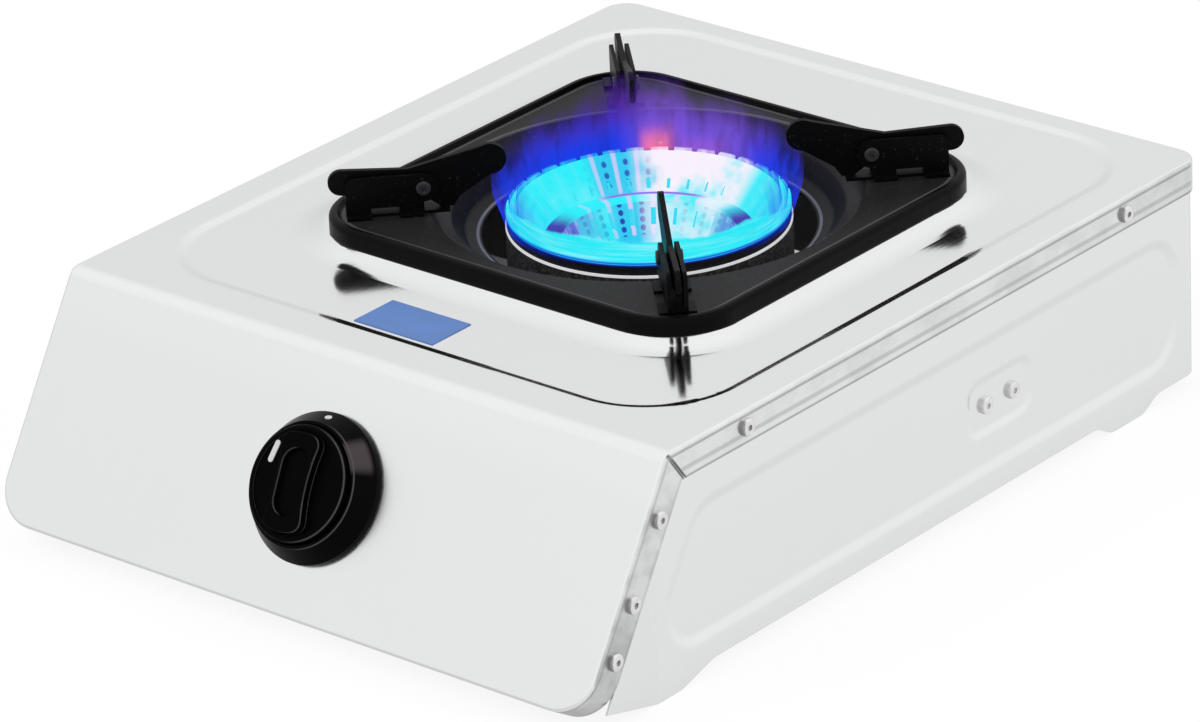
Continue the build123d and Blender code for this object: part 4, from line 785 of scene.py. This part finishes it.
# %% [markdown]
# Black mouldings get their shape from thin pale lines of painted highlight along their edges, on faces that
# look to the right. Those edges are the last fraction of a millimetre under a known height along the knob's
# axis, so a dot product with the knob's direction finds them. The bezel also has one soft painted gleam, at a
# bearing round the same axis.

# %% Black knob and bezel, with painted highlights on their edges
GLEAM = math.radians(40.0)
GLEAM_WIDE = math.cos(math.radians(18.0))
GLEAM_NARROW = math.cos(math.radians(6.0))
KNOB_FACE = 0.013
EDGE_HIGHLIGHT_TONE = (0.09, 0.085, 0.09)
GLEAM_TONE = (0.12, 0.10, 0.105)


def height_of(name):
    return max(v.co.dot(knob_out) for v in nodes[name].data.vertices) - knob_place.dot(knob_out)


def edge_finish(name, tone, rough, shine, tops, gleam):
    finish = plastic_finish(name, tone, rough, 0.1, shine)
    place = finish.place()
    out = finish.node("ShaderNodeVectorMath", {"operation": "DOT_PRODUCT"}, {
        "Vector": place, "Vector_001": knob_out}) - knob_place.dot(knob_out)
    x, y, z = finish.axes(place)
    climb = (y - knob_place.y) * math.sin(SLOPE) + (z - knob_place.z) * math.cos(SLOPE)
    bearing = (x * math.cos(GLEAM) + climb * math.sin(GLEAM)) / (x * x + climb * climb) ** 0.5
    looks_right = finish.ease(finish.normals()[0], 0.0, 0.5)
    # Painted highlights: pale lines on the right-facing edges, and a soft gleam on the bezel.
    lines = functools.reduce(Wire.most, [finish.band(out, top, 0.0004, 0.0001) for top in tops])
    sheen = finish.ease(bearing, GLEAM_WIDE, GLEAM_NARROW) * finish.ease(out, 0.0025, 0.0045) * gleam
    edge_highlighted = finish.blend(lines * looks_right, finish.skin, EDGE_HIGHLIGHT_TONE)
    finish.set("Base Color", finish.blend(sheen, edge_highlighted, GLEAM_TONE))
    return finish


knob_top = height_of("knob")
bezel_top = height_of("bezel")
knob_tops = (knob_top - 0.0004, KNOB_FACE - 0.0006)
finish_nodes(edge_finish("knob_plastic", (0.0016, 0.0014, 0.0017), 0.34, 0.02, knob_tops, 0.0), "knob")
finish_nodes(edge_finish("bezel_plastic", (0.0018, 0.0016, 0.0019), 0.2, 0.03, (bezel_top - 0.0004,), 0.7),
             "bezel")
print("knob stands", round(knob_top, 4), "and bezel", round(bezel_top, 4), "off the front")

# %% [markdown]
# ## Floor and light
# The picture is a cut-out on white. The floor is pale, and for camera and glossy rays it glows, so the
# polished sheet shows white as well. A part of its plain shading stays in, and with it the stove's shadow.
# Under the flat top, short of its right edge, the floor doesn't glow, and behind the stove the glow fades
# in: this is painted shade, so most of the inside that is seen through the tray's mouth is dark. For glossy
# rays the floor's glow is also weaker from a little right of the stove leftwards, a painted shadow.
#
# The room is white for the camera. In the sheet's mirror it is a little brighter above, to the right and to
# the front. Two large soft lamps give the forms a direction without hard shadows.

# %% Floor
FLOOR_SIZE = 8.0
FLOOR_DROP = 0.0002
FLOOR_TONE = (0.86, 0.86, 0.86)
CAMERA_GLOW = 1.06
GLOW_SHARE = 0.85
SHADE_RIGHT = HALF_WIDTH - 0.030
SHADE_LEFT = -HALF_WIDTH + 0.004
SHADE_FRONT = bend_y - 0.006
SHADE_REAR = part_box("top_front_panel")[1].y + 0.030
SOFT = 0.006
LEFT_SOFT = 0.004
REAR_SOFT = 0.020
GLOSS_ZONE = (0.10, 0.16)
GLOSS_LEVELS = (0.76, 0.95)

bpy.ops.object.select_all(action="DESELECT")
bpy.ops.mesh.primitive_plane_add(size=FLOOR_SIZE, location=(0, 0, -FLOOR_DROP))
floor = bpy.context.object
floor.name = "floor"
ground = Finish("pale_floor")
ground.set("Base Color", colour(FLOOR_TONE))
ground.set("Roughness", 0.9)
floor_x, floor_y = ground.axes(ground.place())[:2]
by_camera = ground.node("ShaderNodeLightPath", output="Is Camera Ray")
by_gloss = ground.node("ShaderNodeLightPath", output="Is Glossy Ray")
# Painted shade: the floor's glow is masked off under the stove.
outside = functools.reduce(Wire.most, (
    ground.ease(floor_x, SHADE_RIGHT - SOFT, SHADE_RIGHT + SOFT),
    ground.ease(floor_x, SHADE_LEFT + LEFT_SOFT, SHADE_LEFT),
    ground.ease(floor_y, SHADE_FRONT + SOFT, SHADE_FRONT - SOFT),
    ground.ease(floor_y, SHADE_REAR - REAR_SOFT, SHADE_REAR),
))
# Painted shadow: for glossy rays the floor is darker near and under the stove.
mirrored_floor = ground.ease(floor_x, *GLOSS_ZONE, *GLOSS_LEVELS)
glow = ground.node("ShaderNodeEmission", {}, {
    "Strength": by_camera * CAMERA_GLOW + by_gloss * mirrored_floor})
mixed = ground.node("ShaderNodeMixShader", {}, {
    "Fac": by_camera.most(by_gloss) * outside * GLOW_SHARE,
    "Shader": Wire(ground.tree, ground.shader.outputs[0]),
    "Shader_001": glow,
})
feed(ground.tree.nodes["Material Output"].inputs["Surface"], mixed)
floor.data.materials.append(ground.material)
print("floor is", floor.dimensions.x, "m across")

# %% World
ROOM_LEVEL = 0.915
ROOM_UP = 0.32
ROOM_RIGHT = 0.173
ROOM_FRONT = 0.075
ROOM_MOST = 1.04
ROOM_DIFFUSE = 0.5

world = bpy.data.worlds.new("white_room")
bpy.context.scene.world = world
world.use_nodes = True
sky = Nodes(world.node_tree)
shown = sky.node("ShaderNodeLightPath", output="Is Camera Ray").most(
    sky.node("ShaderNodeLightPath", output="Is Transmission Ray"))
mirrored = sky.node("ShaderNodeLightPath", output="Is Glossy Ray")
room_x, room_y, room_z = sky.axes(sky.node("ShaderNodeTexCoord", output="Generated"))
room = (ROOM_LEVEL + room_z * ROOM_UP + room_x * ROOM_RIGHT - room_y * ROOM_FRONT).least(ROOM_MOST)
backdrop = sky.tree.nodes["Background"].inputs
feed(backdrop["Color"], (1.0, 1.0, 1.0, 1.0))
feed(backdrop["Strength"], shown + (1 - shown) * (mirrored * room + (1 - mirrored) * ROOM_DIFFUSE))
print("mirrored room: level", ROOM_LEVEL, "and at most", ROOM_MOST)

# %% Lamps
LAMP_SIZE = 1.2
STOVE_MIDDLE = Vector((0, 0, 0.05))


def lamp(name, place, power):
    data = bpy.data.lights.new(name, "AREA")
    data.size = LAMP_SIZE
    data.energy = power
    thing = bpy.data.objects.new(name, data)
    thing.location = place
    thing.rotation_euler = (STOVE_MIDDLE - Vector(place)).to_track_quat("-Z", "Y").to_euler()
    thing.visible_glossy = False
    bpy.context.scene.collection.objects.link(thing)
    print(name, power, "W")


lamp("key_lamp", (-0.9, -1.2, 1.6), 14.0)
lamp("fill_lamp", (1.4, 0.6, 1.2), 8.0)

# %% View settings
bpy.context.scene.view_settings.view_transform = "Standard"
print("view transform:", bpy.context.scene.view_settings.view_transform)

# %% [markdown]
# ## The last step
# The view layer is brought up to date at the end. The dressed stove must stay inside the CAD box, with only
# a little room for soft things.

# %% Update the view layer
bpy.context.view_layer.update()
